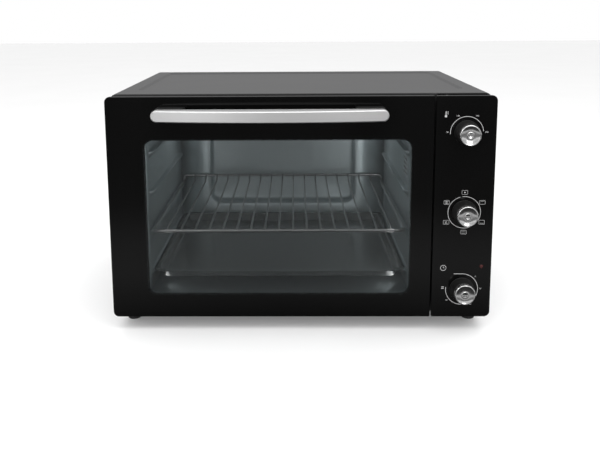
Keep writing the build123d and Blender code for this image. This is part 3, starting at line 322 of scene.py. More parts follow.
handleLook = {"colour": 0.74, "roughness": 0.33}


def brushedHandle(place):
    # fine brushing along the bar
    brush = place.stretched(0.012, 1, 1).noise(2600.0, 2, 0.7)
    tone = place.stretched(1, 0.1, 0.1).noise(16.0, 3)
    base = handleLook["colour"]
    return {
        "Base Color": (brush * 0.5 + tone * 0.5).blend(grey(base * 0.90), grey(base * 1.08)),
        "Roughness": handleLook["roughness"] + brush * 0.10 + tone * 0.06,
        "Normal": brush.bump(0.00002, 0.35),
    }


def lampRed(place):
    facets = place.cells(1100.0)
    return {
        "Base Color": facets.blend((0.030, 0.004, 0.004, 1), (0.070, 0.007, 0.006, 1)),
        "Roughness": 0.16 + facets * 0.1,
        "Normal": facets.bump(0.0002, 0.5),
    }


def printWhite(place):
    grain = place.noise(2500.0, 2)
    return {"Base Color": grain.blend(grey(0.42), grey(0.58)), "Roughness": 0.5 + grain * 0.1}


# glass of the door: black print with a clear window, a soft printed edge round it
doorGlass = {"left": 51.5, "right": 30.0, "bottom": 33.7, "top": 61.1, "corner": 14.5, "edge": 2.6}


def glassPrint(place):
    smudge = place.stretched(1, 1, 0.6).noise(9.0, 4, 0.6, 0.6)
    peel = place.noise(120.0, 2)
    low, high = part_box("door_outer_glass")
    # glow is painted light: the black print is made lighter above the glass's lowest 110 mm and darker
    # towards the bottom
    glow = place.axes()[2].fade(low.z, low.z + 0.11) * 0.5
    return {
        "Base Color": (smudge * 0.6 + glow * 0.2).blend(grey(0.0014), grey(0.0030)),
        "Roughness": 0.055 + smudge * 0.05,
        "Normal": peel.bump(0.00001, 0.15),
    }


def doorPrint(place):
    low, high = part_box("door_outer_glass")
    x, y, z = place.axes()
    left, right = low.x + doorGlass["left"] * mm, high.x - doorGlass["right"] * mm
    bottom, top = low.z + doorGlass["bottom"] * mm, high.z - doorGlass["top"] * mm
    corner = doorGlass["corner"] * mm
    outX = (abs(x - (left + right) / 2) - ((right - left) / 2 - corner)).over(0)
    outZ = (abs(z - (bottom + top) / 2) - ((top - bottom) / 2 - corner)).over(0)
    away = (outX * outX + outZ * outZ).root() - corner
    printed = away.fade(-doorGlass["edge"] * mm, 0.0003)
    solid = glassPrint(place)
    solid["Base Color"] = printed.blend(grey(0.030, 0.92, 1.0, 1.02), solid["Base Color"])
    solid["Alpha"] = 0.13 + printed * 0.87
    return solid


def clearPane(place):
    smudge = place.noise(12.0, 4)
    return {
        "Base Color": smudge.blend(grey(0.05, 0.9, 1.0, 1.0), grey(0.10, 0.92, 1.0, 1.0)),
        "Roughness": 0.05 + smudge * 0.05,
        "Alpha": 0.07 + smudge * 0.06,
    }


capLook = {"colour": 0.78, "roughness": 0.12, "rings": 2100.0}


def spunCap(centre):
    # turned metal: fine rings about the knob's own middle
    def recipe(place):
        x, y, z = place.axes()
        dx, dz = x - centre[0], z - centre[2]
        around = (dx * dx + dz * dz).root()
        rings = (around * capLook["rings"] * 2 * math.pi).wave()
        cloud = place.noise(220.0, 3)
        base = capLook["colour"]
        return {
            "Base Color": cloud.blend(grey(base * 0.92), grey(base * 1.06)),
            "Roughness": capLook["roughness"] + rings * 0.02 + cloud * 0.05,
            "Normal": rings.bump(0.000002, 0.15),
        }

    return recipe


steel = {"Metallic": 1.0}
finishes = {
    "casing_paint": makeMaterial("casingPaint", casingPaint, **{"Specular IOR Level": 0.42}),
    "galvanised_steel": makeMaterial("galvanisedSheet", galvanised, **steel),
    "frame_enamel": makeMaterial("blackEnamel", blackEnamel),
    "cavity_steel": makeMaterial("cavitySheet", cavitySteel, **{"Metallic": 0.75}),
    "plated_steel": makeMaterial("platedSteel", platedSteel, **steel),
    "spring_steel": makeMaterial("springSteel", springSteel, **steel),
    "rack_chrome": makeMaterial("rackChrome", rackChrome, **steel),
    "tray_enamel": makeMaterial("trayEnamel", trayEnamel),
    "heater_steel": makeMaterial("heaterTube", heaterSteel, **{"Metallic": 0.8}),
    "ceramic": makeMaterial("ceramicBush", ceramic),
    "foot_rubber": makeMaterial("footRubber", footRubber),
    "black_plastic": makeMaterial("blackPlastic", blackPlastic, **{"Specular IOR Level": 0.35}),
    "wire_cover": makeMaterial("braidedSleeve", braidedSleeve),
    "copper": makeMaterial("drawnCopper", drawnCopper, **steel),
    "handle_metal": makeMaterial("brushedHandle", brushedHandle, **steel),
    "black_glass": makeMaterial("printedGlass", glassPrint, **{"Specular IOR Level": 0.2}),
    "clear_glass": makeMaterial("clearPane", clearPane),
    "lamp_red": makeMaterial("lampRed", lampRed, **{"Coat Weight": 0.6}),
}
doorGlassLook = makeMaterial("doorPrint", doorPrint, **{"Specular IOR Level": 0.2})
printLook = makeMaterial("dialPrint", printWhite)
nodeSlots = {row["node"]: row["material_slot"] for row in frame["record"]["subparts"]}


def dress(piece, look):
    # one finish all over a piece
    piece.data.materials.clear()
    piece.data.materials.append(look)


for name, piece in frame["nodes"].items():
    look = finishes.get(nodeSlots.get(name))
    if look:
        dress(piece, look)
dress(frame["nodes"]["door_outer_glass"], doorGlassLook)
print("finishes made,", len(bpy.data.materials), "materials")


# mesh helpers
def makePiece(name, body, look, replaced=(), mesh=None, points=None, faces=None, smooth=True):
    if mesh is None:
        mesh = bpy.data.meshes.new(name)
        mesh.from_pydata([tuple(p) for p in points], [], faces)
    mesh.name = name
    built = bmesh.new()
    built.from_mesh(mesh)
    bmesh.ops.remove_doubles(built, verts=built.verts, dist=1e-6)
    bmesh.ops.recalc_face_normals(built, faces=built.faces)
    built.to_mesh(mesh)
    built.free()
    for polygon in mesh.polygons:
        polygon.use_smooth = smooth
    piece = bpy.data.objects.new(name, mesh)
    scene.collection.objects.link(piece)
    dress(piece, look)
    if smooth:
        mesh.set_sharp_from_angle(angle=math.radians(38))
    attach(piece, body)
    if replaced:
        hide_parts(*replaced)
    return piece


def skinRings(rings, closeStart=True, closeEnd=True, wrap=False):
    # quads between rings of equal length, with the ends closed to a middle point
    count = len(rings[0])
    points = [p for ring in rings for p in ring]
    faces = []
    steps = len(rings) if wrap else len(rings) - 1
    for r in range(steps):
        a, b = r * count, ((r + 1) % len(rings)) * count
        faces += [(a + i, a + (i + 1) % count, b + (i + 1) % count, b + i) for i in range(count)]
    for close, ring, index in ((closeStart, rings[0], 0), (closeEnd, rings[-1], len(rings) - 1)):
        if close and not wrap:
            points.append(tuple(np.mean(np.array(ring), axis=0)))
            middle, a = len(points) - 1, index * count
            faces += [(a + (i + 1) % count, a + i, middle) for i in range(count)]
    return points, faces


def latheY(profile, x, z, segments=96):
    # rings about a line along Y, from (radius, y) pairs
    turns = [2 * math.pi * i / segments for i in range(segments)]
    return [[(x + r * math.cos(t), y, z + r * math.sin(t)) for t in turns] for r, y in profile]


def roundedRing(halfA, halfB, radius, cornerSteps=10):
    # a rectangle with round corners, as (a, b) pairs about its middle
    ring = []
    for quarter, (sa, sb) in enumerate(((1, 1), (-1, 1), (-1, -1), (1, -1))):
        for i in range(cornerSteps + 1):
            t = math.radians(90 * (quarter + i / cornerSteps))
            a, b = sa * (halfA - radius), sb * (halfB - radius)
            ring.append((a + radius * math.cos(t), b + radius * math.sin(t)))
    return ring


def arcPoints(centre, radius, start, end, steps):
    # points of an arc, angles in degrees
    angles = [math.radians(start + (end - start) * i / steps) for i in range(steps + 1)]
    return [(centre[0] + radius * math.cos(a), centre[1] + radius * math.sin(a)) for a in angles]


def roundedPath(points, bend, steps=6):
    # a polyline with each inner corner rounded
    corners = [Vector(p) for p in points]
    path = [corners[0]]
    for before, here, after in zip(corners, corners[1:], corners[2:]):
        back, ahead = (before - here), (after - here)
        reach = min(bend, back.length * 0.49, ahead.length * 0.49)
        a, b = here + back.normalized() * reach, here + ahead.normalized() * reach
        for i in range(steps + 1):
            t = i / steps
            path.append(a * (1 - t) ** 2 + here * 2 * t * (1 - t) + b * t**2)
    path.append(corners[-1])
    return path


def sweepTube(path, radius, sides=14, closed=False):
    # a round wire along a path, its frame carried without twist
    count = len(path)
    rings, side = [], None
    for i, point in enumerate(path):
        before = path[i - 1] if i or closed else point
        after = path[(i + 1) % count] if i < count - 1 or closed else point
        along = (Vector(after) - Vector(before)).normalized()
        if side is None:
            side = along.orthogonal().normalized()
        side = (side - along * side.dot(along)).normalized()
        other = along.cross(side)
        turns = [2 * math.pi * k / sides for k in range(sides)]
        rings.append([Vector(point) + (side * math.cos(t) + other * math.sin(t)) * radius for t in turns])
    return skinRings(rings, wrap=closed)


def joinParts(parts):
    points, faces = [], []
    for morePoints, moreFaces in parts:
        start = len(points)
        points += list(morePoints)
        faces += [tuple(start + i for i in face) for face in moreFaces]
    return points, faces


# Geometry Nodes
class GeoTree:
    # a Geometry Nodes tree built in the script, with named inputs
    def __init__(self, name, inputs):
        self.tree = bpy.data.node_groups.new(name, "GeometryNodeTree")
        face = self.tree.interface
        face.new_socket("Geometry", in_out="INPUT", socket_type="NodeSocketGeometry")
        self.keys = {}
        for label, (kind, value) in inputs.items():
            socket = face.new_socket(label, in_out="INPUT", socket_type="NodeSocket" + kind)
            if kind != "Material":
                socket.default_value = value
            self.keys[label] = (socket.identifier, value)
        face.new_socket("Geometry", in_out="OUTPUT", socket_type="NodeSocketGeometry")
        self.start = self.tree.nodes.new("NodeGroupInput")
        self.end = self.tree.nodes.new("NodeGroupOutput")

    def given(self, label):
        return self.start.outputs[label]

    def node(self, kind, settings=None, inputs=None):
        made = self.tree.nodes.new(kind)
        for name, value in (settings or {}).items():
            setattr(made, name, value)
        for key, value in (inputs or {}).items():
            if isinstance(value, bpy.types.NodeSocket):
                self.tree.links.new(value, made.inputs[key])
            else:
                made.inputs[key].default_value = value
        return made.outputs

    def finish(self, geometry):
        realized = self.node("GeometryNodeRealizeInstances", None, {0: geometry})[0]
        values = {0: realized, "Material": self.given("Finish")}
        dressed = self.node("GeometryNodeSetMaterial", None, values)[0]
        self.tree.links.new(dressed, self.end.inputs[0])

    def grow(self, points, faces):
        # runs the tree on a mesh and returns the plain result
        mesh = bpy.data.meshes.new("source")
        mesh.from_pydata([tuple(p) for p in points], [], faces)
        source = bpy.data.objects.new("source", mesh)
        scene.collection.objects.link(source)
        modifier = source.modifiers.new("grow", "NODES")
        modifier.node_group = self.tree
        for identifier, value in self.keys.values():
            modifier[identifier] = value
        ready = source.evaluated_get(bpy.context.evaluated_depsgraph_get())
        result = bpy.data.meshes.new_from_object(ready)
        bpy.data.objects.remove(source)
        return result


def repeatInLine(name, points, faces, count, step, first, look):
    # copies of a shape, evenly spaced along a line
    geo = GeoTree(
        name,
        {
            "Count": ("Int", count),
            "Step": ("Vector", step),
            "First": ("Vector", first),
            "Finish": ("Material", look),
        },
    )
    line = geo.node(
        "GeometryNodeMeshLine",
        {"mode": "OFFSET"},
        {"Count": geo.given("Count"), "Start Location": geo.given("First"), "Offset": geo.given("Step")},
    )[0]
    values = {"Points": line, "Instance": geo.given("Geometry")}
    copies = geo.node("GeometryNodeInstanceOnPoints", None, values)[0]
    geo.finish(copies)
    return geo.grow(points, faces)


def windSpring(name, turns, radius, wire, length, place, look):
    # a helix along Y with a round section
    geo = GeoTree(
        name,
        {
            "Turns": ("Float", turns),
            "Radius": ("Float", radius),
            "Length": ("Float", length),
            "Wire": ("Float", wire),
            "Place": ("Vector", place),
            "Finish": ("Material", look),
        },
    )
    helix = geo.node(
        "GeometryNodeCurveSpiral",
        None,
        {
            "Resolution": 20,
            "Rotations": geo.given("Turns"),
            "Start Radius": geo.given("Radius"),
            "End Radius": geo.given("Radius"),
            "Height": geo.given("Length"),
        },
    )[0]
    values = {"Resolution": 10, "Radius": geo.given("Wire")}
    section = geo.node("GeometryNodeCurvePrimitiveCircle", None, values)[0]
    values = {"Curve": helix, "Profile Curve": section, "Fill Caps": True}
    coil = geo.node("GeometryNodeCurveToMesh", None, values)[0]
    turned = geo.node(
        "GeometryNodeTransform",
        None,
        {"Geometry": coil, "Translation": geo.given("Place"), "Rotation": (-math.pi / 2, 0, 0)},
    )[0]
    geo.finish(turned)
    return geo.grow([(0, 0, 0)], [])


# knobs
knobShape = {
    "foot": 18.0,       # skirt radius at the panel
    "neck": 15.6,       # skirt radius at the cap
    "cap": 14.8,        # cap radius
    "lip": 1.1,         # rounding of the cap's front edge
    "land": 0.7,        # flat between the lip and the hollow
    "dish": 1.2,        # depth of the hollow in the cap
    "button": 4.9,      # radius of the raised middle
    "rise": 0.8,
    "middle": 0.45,     # depth of the hollow in the raised middle
}


def shifted(offsets, across, along):
    # outline points given in mm from one place
    return [(across + a * mm, along + b * mm) for a, b in offsets]


def makeKnob(control):
    low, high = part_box(control + "_knob")
    capLow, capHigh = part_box(control + "_knob_cap")
    x, z = (capLow.x + capHigh.x) / 2, (capLow.z + capHigh.z) / 2
    back, front = high.y, capLow.y
    neckY = capHigh.y
    foot, neck, cap = (knobShape[key] * mm for key in ("foot", "neck", "cap"))
    skirt = shifted([(-1.2, 0.0), (-0.3, 0.0), (0.0, -0.5), (0.0, -1.4), (-0.5, -1.9)], foot, back)
    slopeStart, slopeBack = skirt[-1]
    slopeFront = neckY + 0.7 * mm
    for i in range(1, 9):
        t = i / 8
        radius = slopeStart + (neck - slopeStart) * t**0.85
        skirt.append((radius, slopeBack + (slopeFront - slopeBack) * t))
    skirt += shifted([(-0.15, 0.35), (-0.5, 0.05), (-1.2, 0.0)], neck, neckY)
    skirt += shifted([(-3.2, 0.0)], cap, neckY)
    points, faces = skinRings(latheY(skirt, x, z))
    makePiece(
        control + "_skirt", control + "_control", finishes["black_plastic"],
        [control + "_knob"], points=points, faces=faces,
    )
    lip, dish = knobShape["lip"] * mm, knobShape["dish"] * mm
    button, rise = knobShape["button"] * mm, knobShape["rise"] * mm
    land, hollow = knobShape["land"] * mm, knobShape["middle"] * mm
    shape = shifted([(-2.5, -0.2), (-0.5, -0.2), (0.0, -0.6), (0.0, -1.6)], cap, neckY)
    shape += arcPoints((cap - lip, front + lip), lip, 0, -90, 8)
    rim = cap - lip - land
    shape.append((rim, front))
    for i in range(1, 15):
        t = i / 14
        depth = dish * math.sin(t * math.pi / 2) ** 0.8
        shape.append((rim + (button + land - rim) * t, front + depth))
    floor, face = front + dish, front + dish - rise
    shape += [(button + 0.15 * mm, floor - 0.05 * mm), (button, floor - rise * 0.6)]
    shape += shifted([(-0.35, 0.0), (-1.0, 0.0)], button, face)
    edge, tip = button - 1.0 * mm, 0.02 * mm
    for i in range(1, 7):
        t = i / 6
        shape.append((edge * (1 - t) + tip * t, face + hollow * math.sin(t * math.pi / 2)))
    points, faces = skinRings(latheY(shape, x, z, 128))
    look = makeMaterial(control + "SpunCap", spunCap((x, front, z)), **steel)
    makePiece(
        control + "_cap", control + "_control", look,
        [control + "_knob_cap"], points=points, faces=faces,
    )
    return x, z


knobPlaces = {control: makeKnob(control) for control in ("timer", "function", "temperature")}
print("knobs made")

# wire rack
rackShape = {
    "frame": 2.5,        # radius of the frame wire
    "wire": 1.4,
    "pitch": 20.6,
    "count": 17,
    "corner": 12.0,
    "rise": 12.0,        # the rear bar stands above the rest
    "climb": 14.0,       # how far from the rear the wires start to rise to it
}


def makeRack():
    low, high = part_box("wire_rack")
    frameRadius, wire = rackShape["frame"] * mm, rackShape["wire"] * mm
    left, right = low.x + frameRadius, high.x - frameRadius
    front, back = low.y + frameRadius, high.y - frameRadius
    raised = high.z - frameRadius
    level = raised - rackShape["rise"] * mm
    bend = 6 * mm
    corners = [
        ((left + right) / 2, front, level), (right, front, level), (right, back - bend, level),
        (right, back, raised), ((left + right) / 2, back, raised), (left, back, raised),
        (left, back - bend, level), (left, front, level), ((left + right) / 2, front, level),
    ]
    loop = roundedPath(corners, rackShape["corner"] * mm, 8)[:-1]
    points, faces = sweepTube(loop, frameRadius, 16, closed=True)
    makePiece(
        "rack_frame", "rack", finishes["rack_chrome"], ["wire_rack"],
        points=points, faces=faces,
    )
    top = level + frameRadius + wire - 0.4 * mm
    middle = (left + right) / 2
    climb = rackShape["climb"] * mm
    path = roundedPath(
        [
            (0, back - 0.5 * mm, raised + frameRadius - wire), (0, back - climb, top),
            (0, front + 9 * mm, top), (0, front - 0.6 * mm, level + 0.4 * mm),
        ],
        9 * mm, 8,
    )
    points, faces = sweepTube(path, wire, 10)
    step = rackShape["pitch"] * mm
    count = rackShape["count"]
    mesh = repeatInLine(
        "rackWires", points, faces, count, (step, 0, 0), (middle - step * (count - 1) / 2, 0, 0),
        finishes["rack_chrome"],
    )
    makePiece("rack_wires", "rack", finishes["rack_chrome"], mesh=mesh)


makeRack()

# baking tray
trayShape = {
    "rim": 9.0,
    "sheet": 0.8,
    "depth": 13.0,
    "corner": 18.0,
    "slope": 5.0,
    "lip": 2.4,          # rounding from the rim into the side
    "bend": 3.0,         # height of the rounding from the side into the floor
    "bendWidth": 4.2,
}


def makeTray():
    low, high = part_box("baking_tray")
    x, y = (low.x + high.x) / 2, (low.y + high.y) / 2
    halfX, halfY = (high.x - low.x) / 2, (high.y - low.y) / 2
    top, sheet = high.z, trayShape["sheet"] * mm
    rim, depth, slope = trayShape["rim"] * mm, trayShape["depth"] * mm, trayShape["slope"] * mm
    corner = trayShape["corner"] * mm
    lip, bend, bendWidth = (trayShape[key] * mm for key in ("lip", "bend", "bendWidth"))
    turnIn, bottom = rim + slope * 0.75, top - depth
    levels = [(0.1 * mm, top - sheet), (0, top - sheet * 0.5), (0.1 * mm, top), (rim - lip, top)]
    for t in (0.4, 0.8, 1.15):
        levels.append((rim - lip + lip * math.sin(t), top - lip * (1 - math.cos(t))))
    levels.append((turnIn, bottom + bend))
    for t in (0.5, 1.0, 1.57):
        levels.append((turnIn + bendWidth * (1 - math.cos(t)), bottom + bend * (1 - math.sin(t))))
    under = [(inset - 0.2 * mm if inset > rim else inset, z - sheet) for inset, z in reversed(levels[3:])]
    inner, floor = levels[-1][0] + 6 * mm, levels[-1][1]

    def rings(outline):
        made = []
        for inset, z in outline:
            radius = max(corner - inset * 0.55, 5 * mm)
            ring = roundedRing(halfX - inset, halfY - inset, radius)
            made.append([(x + a, y + b, z) for a, b in ring])
        return made

    edge = (0.1 * mm, top - sheet)
    inside = skinRings(rings([edge] + levels[1:] + [(inner, floor)]), closeStart=False)
    outside = skinRings(rings([(inner, floor - sheet)] + under + [edge]), closeEnd=False)
    points, faces = joinParts([inside, outside])
    makePiece(
        "tray_pan", "tray", finishes["tray_enamel"], ["baking_tray"],
        points=points, faces=faces,
    )


makeTray()
print("rack and tray made")

# cavity back wall: one sheet with a pressed recess, its rim and floor rounded
linerSheet = 0.8
recessShape = {
    "side": 57.0,
    "bottom": 52.0,
    "top": 28.0,
    "corner": 16.0,
    "depth": 20.0,
    "rim": 6.0,          # rounding of the recess's edge
    "floor": 8.0,        # rounding of its floor
    "flat": 6.0,         # flat sheet kept round the edge
}


def makeBackWall():
    low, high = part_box("cavity_back_wall")
    sheet = linerSheet * mm
    left, right = low.x + sheet, high.x - sheet
    bottom, top = low.z + sheet, high.z - sheet
    x0, x1 = left + recessShape["side"] * mm, right - recessShape["side"] * mm
    z0, z1 = bottom + recessShape["bottom"] * mm, top - recessShape["top"] * mm
    x, z = (x0 + x1) / 2, (z0 + z1) / 2
    halfX, halfZ, corner = (x1 - x0) / 2, (z1 - z0) / 2, recessShape["corner"] * mm
    front, depth = low.y, recessShape["depth"] * mm
    rim, floor = recessShape["rim"] * mm, recessShape["floor"] * mm
    flat = recessShape["flat"] * mm
    rings = [(rim + flat, 0.0), (rim, 0.0)]
    rings += [(rim - rim * math.sin(t), rim - rim * math.cos(t)) for t in np.linspace(0.25, math.pi / 2, 6)]
    for t in np.linspace(0, math.pi / 2, 8):
        rings.append((floor * math.cos(t) - floor, depth - floor + floor * math.sin(t)))
    shaped = []
    for grow, y in rings:
        ring = roundedRing(halfX + grow, halfZ + grow, corner + grow, 12)
        shaped.append([(x + a, front + y, z + b) for a, b in ring])
    points, faces = skinRings(shaped, closeStart=False)
    count = len(shaped[0])
    reachX, reachZ = halfX + rim + flat, halfZ + rim + flat
    for px, py, pz in shaped[0]:
        # the flat sheet round the recess, pulled out to the wall's own edges
        share = max(abs(px - x) / reachX, abs(pz - z) / reachZ)
        tx = ((px - x) / share + reachX) / (2 * reachX)
        tz = ((pz - z) / share + reachZ) / (2 * reachZ)
        points.append((low.x + (high.x - low.x) * tx, front, low.z + (high.z - low.z) * tz))
    base = len(points) - count
    faces += [(base + i, base + (i + 1) % count, (i + 1) % count, i) for i in range(count)]
    piece = makePiece(
        "liner_back", "chassis", finishes["cavity_steel"], ["cavity_back_wall"],
        points=points, faces=faces,
    )
    wall = piece.modifiers.new("wall", "SOLIDIFY")
    wall.thickness, wall.offset = sheet, -1 if backNormalOut(piece) else 1


def backNormalOut(piece):
    # true if the sheet's faces look to the front, so that its thickness goes to the rear
    return sum(polygon.normal.y * polygon.area for polygon in piece.data.polygons) < 0


makeBackWall()


# cavity side walls: sheets with pressed runners whose ends run out smoothly
runnerShape = {
    "lowest": 32.0,      # height of the lowest runner's top above the cavity floor
    "pitch": 59.5,
    "levels": 4,
    "reach": 8.0,
    "lip": 2.8,
    "height": 11.2,
    "end": 14.0,
    "runOut": 12.0,
    "nose": 1.2,         # rounding of the runner's edge
}
holeShape = {"rows": 4, "columns": 5, "pitch": 7.0, "radius": 1.5, "front": 44.0, "top": 70.0}


def makeSideWall(side):
    node = "cavity_" + side + "_wall"
    low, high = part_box(node)
    sheet = linerSheet * mm
    inward = 1 if side == "left" else -1
    wall = low.x + sheet if side == "left" else high.x - sheet
    bottom, top = low.z + sheet, high.z - sheet
    reach, lip = runnerShape["reach"] * mm, runnerShape["lip"] * mm
    nose = runnerShape["nose"] * mm
    profile = [(0.0, low.z)]
    for level in range(runnerShape["levels"]):
        z = bottom + (runnerShape["lowest"] + runnerShape["pitch"] * level) * mm
        foot = z - runnerShape["height"] * mm
        profile += [(0.0, foot - 3 * mm), (0.0, foot - 1.2 * mm), (0.35 * mm, foot + 0.4 * mm)]
        profile += [(share * reach, foot + share * (z - lip - foot)) for share in (0.3, 0.75)]
        profile += arcPoints((reach - nose, z - nose), nose, -25, 90, 6)
        profile += [(1.6 * mm, z), (0.6 * mm, z + 0.25 * mm), (0.0, z + 1.1 * mm), (0.0, z + 3 * mm)]
    profile.append((0.0, high.z))
    start, end = low.y, high.y
    first, last = start + runnerShape["end"] * mm, end - runnerShape["end"] * mm
    run = runnerShape["runOut"] * mm
    stations = [start, *np.linspace(first, first + run, 9), *np.linspace(last - run, last, 9), end]
    points, faces = [], []
    for y in stations:
        rise = min((y - first) / run, (last - y) / run)
        share = max(0.0, min(1.0, rise))
        share = share * share * (3 - 2 * share)
        points += [(wall + inward * across * share, y, z) for across, z in profile]
    count = len(profile)
    for j in range(len(stations) - 1):
        a, b = j * count, (j + 1) * count
        faces += [(a + i, a + i + 1, b + i + 1, b + i) for i in range(count - 1)]
    piece = makePiece(
        "liner_" + side, "chassis", finishes["cavity_steel"], [node],
        points=points, faces=faces,
    )
    facing = sum(polygon.normal.x * polygon.area for polygon in piece.data.polygons) * inward
    skin = piece.modifiers.new("wall", "SOLIDIFY")
    skin.thickness, skin.offset = sheet, -1 if facing > 0 else 1
    return wall


makeSideWall("left")
rightWall = makeSideWall("right")


def makeHoles():
    # the small holes of the right wall, each with a pressed rim; their centres are closed by dark discs,
    # painted shade where the openings would be
    low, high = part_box("cavity_right_wall")
    radius, pitch = holeShape["radius"] * mm, holeShape["pitch"] * mm
    outline = [(1.35, 0.0), (1.3, -0.25), (1.05, -0.3), (0.9, -0.05)]  # radius as a share, height in mm
    ring = latheY([(radius * share, height * mm) for share, height in outline], 0, 0, 16)
    turned = [[(rightWall + y, x, z) for x, y, z in part] for part in ring]
    points, faces = skinRings(turned, closeStart=False, closeEnd=True)
    # darker heater steel over the rims and closed discs: painted shade where the holes open
    look = finishes["heater_steel"]
    column = repeatInLine("holeColumn", points, faces, holeShape["rows"], (0, 0, -pitch), (0, 0, 0), look)
    base = [tuple(v.co) for v in column.vertices]
    sides = [tuple(p.vertices) for p in column.polygons]
    first = (0, low.y + holeShape["front"] * mm, high.z - holeShape["top"] * mm)
    mesh = repeatInLine("holes", base, sides, holeShape["columns"], (0, pitch, 0), first, look)
    makePiece("liner_hole_rims_painted_shade", "chassis", look, mesh=mesh)


makeHoles()


# door springs
springShape = {"wire": 1.1, "turns": 37.0}


def makeSpring(side):
    node = "door_spring_" + side
    low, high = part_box(node)
    wire = springShape["wire"] * mm
    radius = (high.x - low.x) / 2 - wire
    x, z = (low.x + high.x) / 2, (low.z + high.z) / 2
    start, end = low.y + 6 * mm, high.y - 6 * mm
    look = finishes["spring_steel"]
    coil = windSpring(node, springShape["turns"], radius, wire, end - start, (x, start, z), look)
    built = bmesh.new()
    built.from_mesh(coil)
    hooks = bpy.data.meshes.new("hooks")
    parts = []
    for near, far in ((start, low.y + wire), (end, high.y - wire)):
        path = roundedPath([(x + radius, near, z), (x, near, z), (x, far, z)], 2 * mm, 5)
        parts.append(sweepTube(path, wire, 10))
    points, faces = joinParts(parts)
    hooks.from_pydata([tuple(p) for p in points], [], faces)
    built.from_mesh(hooks)
    built.to_mesh(coil)
    built.free()
    makePiece("spring_" + side, "chassis", look, [node], mesh=coil)


for side in ("left", "right"):
    makeSpring(side)
print("back wall and springs made")

# printed dials
dialLook = {
    "thick": 0.05,
    "line": 0.75,
    "fine": 0.32,        # line of the function symbols
    "ring": 23.2,
    "digit": 3.1,
    "symbol": 29.2,      # distance of the function symbols from the knob's middle
    "minute": 27.0,      # distance of the timer's numbers
    "minuteDigit": 2.7,
}
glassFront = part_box("control_panel_glass")[0].y
dialParts = []


def flatStrip(path, width, closed=False):
    # a printed line of one width along (x, z) points
    outline, count = [], len(path)
    for i, (px, pz) in enumerate(path):
        before = path[i - 1] if i or closed else path[i]
        after = path[(i + 1) % count] if i < count - 1 or closed else path[i]
        dx, dz = after[0] - before[0], after[1] - before[1]
        size = math.hypot(dx, dz) or 1.0
        outline.append((-dz / size * width / 2, dx / size * width / 2))
    front = glassFront - dialLook["thick"] * mm
    points = []
    for (px, pz), (ox, oz) in zip(path, outline):
        points += [(px + ox, front, pz + oz), (px - ox, front, pz - oz)]
        points += [(px - ox, glassFront, pz - oz), (px + ox, glassFront, pz + oz)]
    faces = []
    for i in range(count if closed else count - 1):
        a, b = 4 * i, 4 * ((i + 1) % count)
        faces += [(a + k, a + (k + 1) % 4, b + (k + 1) % 4, b + k) for k in range(4)]
    if not closed:
        last = 4 * (count - 1)
        faces += [(3, 2, 1, 0), (last, last + 1, last + 2, last + 3)]
    dialParts.append((points, faces))


def flatDisc(x, z, radius):
    front = glassFront - dialLook["thick"] * mm
    ring = arcPoints((x, z), radius, 0, 345, 23)
    dialParts.append(skinRings([[(px, y, pz) for px, pz in ring] for y in (glassFront, front)]))


def arcLine(x, z, radius, start, end, width, steps=48):
    flatStrip(arcPoints((x, z), radius, start, end, steps), width * mm)


def frameLine(x, z, halfX, halfZ, corner, width):
    flatStrip([(x + a, z + b) for a, b in roundedRing(halfX, halfZ, corner, 5)], width, closed=True)


def writeNumber(text, x, z, size):
    data = bpy.data.curves.new("number", "FONT")
    data.body, data.size = text, size * mm
    data.align_x, data.align_y = "CENTER", "CENTER"
    data.extrude = dialLook["thick"] * mm / 2
    data.resolution_u = 4
    text = bpy.data.objects.new("number", data)
    scene.collection.objects.link(text)
    mesh = bpy.data.meshes.new_from_object(text.evaluated_get(bpy.context.evaluated_depsgraph_get()))
    bpy.data.objects.remove(text)
    middle = glassFront - dialLook["thick"] * mm / 2
    points = [(x + v.co.x, middle - v.co.z, z + v.co.y) for v in mesh.vertices]
    dialParts.append((points, [tuple(p.vertices) for p in mesh.polygons]))


def temperatureDial(x, z):
    arcLine(x, z, dialLook["ring"] * mm, 184, 6, dialLook["line"])
    for text, dx, dz in (("90", -27.4, 1.0), ("140", -13.2, 24.0), ("190", 13.6, 24.0), ("230", 27.6, 1.0)):
        writeNumber(text, x + dx * mm, z + dz * mm, dialLook["digit"])
    bulbX, bulbZ = x - 30.0 * mm, z + 23.8 * mm
    flatDisc(bulbX, bulbZ, 1.7 * mm)
    flatStrip([(bulbX, bulbZ + 1.2 * mm), (bulbX, bulbZ + 6.6 * mm)], 1.1 * mm)
    for step in range(3):
        mark = bulbZ + (3.0 + 1.6 * step) * mm
        flatStrip([(bulbX + 1.6 * mm, mark), (bulbX + 3.6 * mm, mark)], 0.5 * mm)


def functionSymbol(kind, x, z):
    wide, tall, line = 4.0 * mm, 2.9 * mm, dialLook["fine"] * mm
    frameLine(x, z, wide, tall, 0.9 * mm, line)
    inner = wide - 1.4 * mm
    if kind in ("top", "both", "fanBoth"):
        flatStrip([(x - inner, z + 1.5 * mm), (x + inner, z + 1.5 * mm)], line)
    if kind in ("bottom", "both", "fanBottom", "fanBoth"):
        flatStrip([(x - inner, z - 1.5 * mm), (x + inner, z - 1.5 * mm)], line)
    if kind.startswith("fan"):
        arcLine(x, z, 1.0 * mm, 0, 300, 0.5, 12)
    if kind == "light":
        flatDisc(x, z, 0.9 * mm)


def functionDial(x, z):
    arcLine(x, z, dialLook["ring"] * mm, 106, -262, dialLook["line"] * 0.85, 96)
    kinds = ("light", "top", "bottom", "both", "fanBottom", "fanBoth")
    for i, kind in enumerate(kinds):
        turn = math.radians(90 - 60 * i)
        reach = dialLook["symbol"] * mm
        functionSymbol(kind, x + reach * math.cos(turn), z + reach * math.sin(turn))


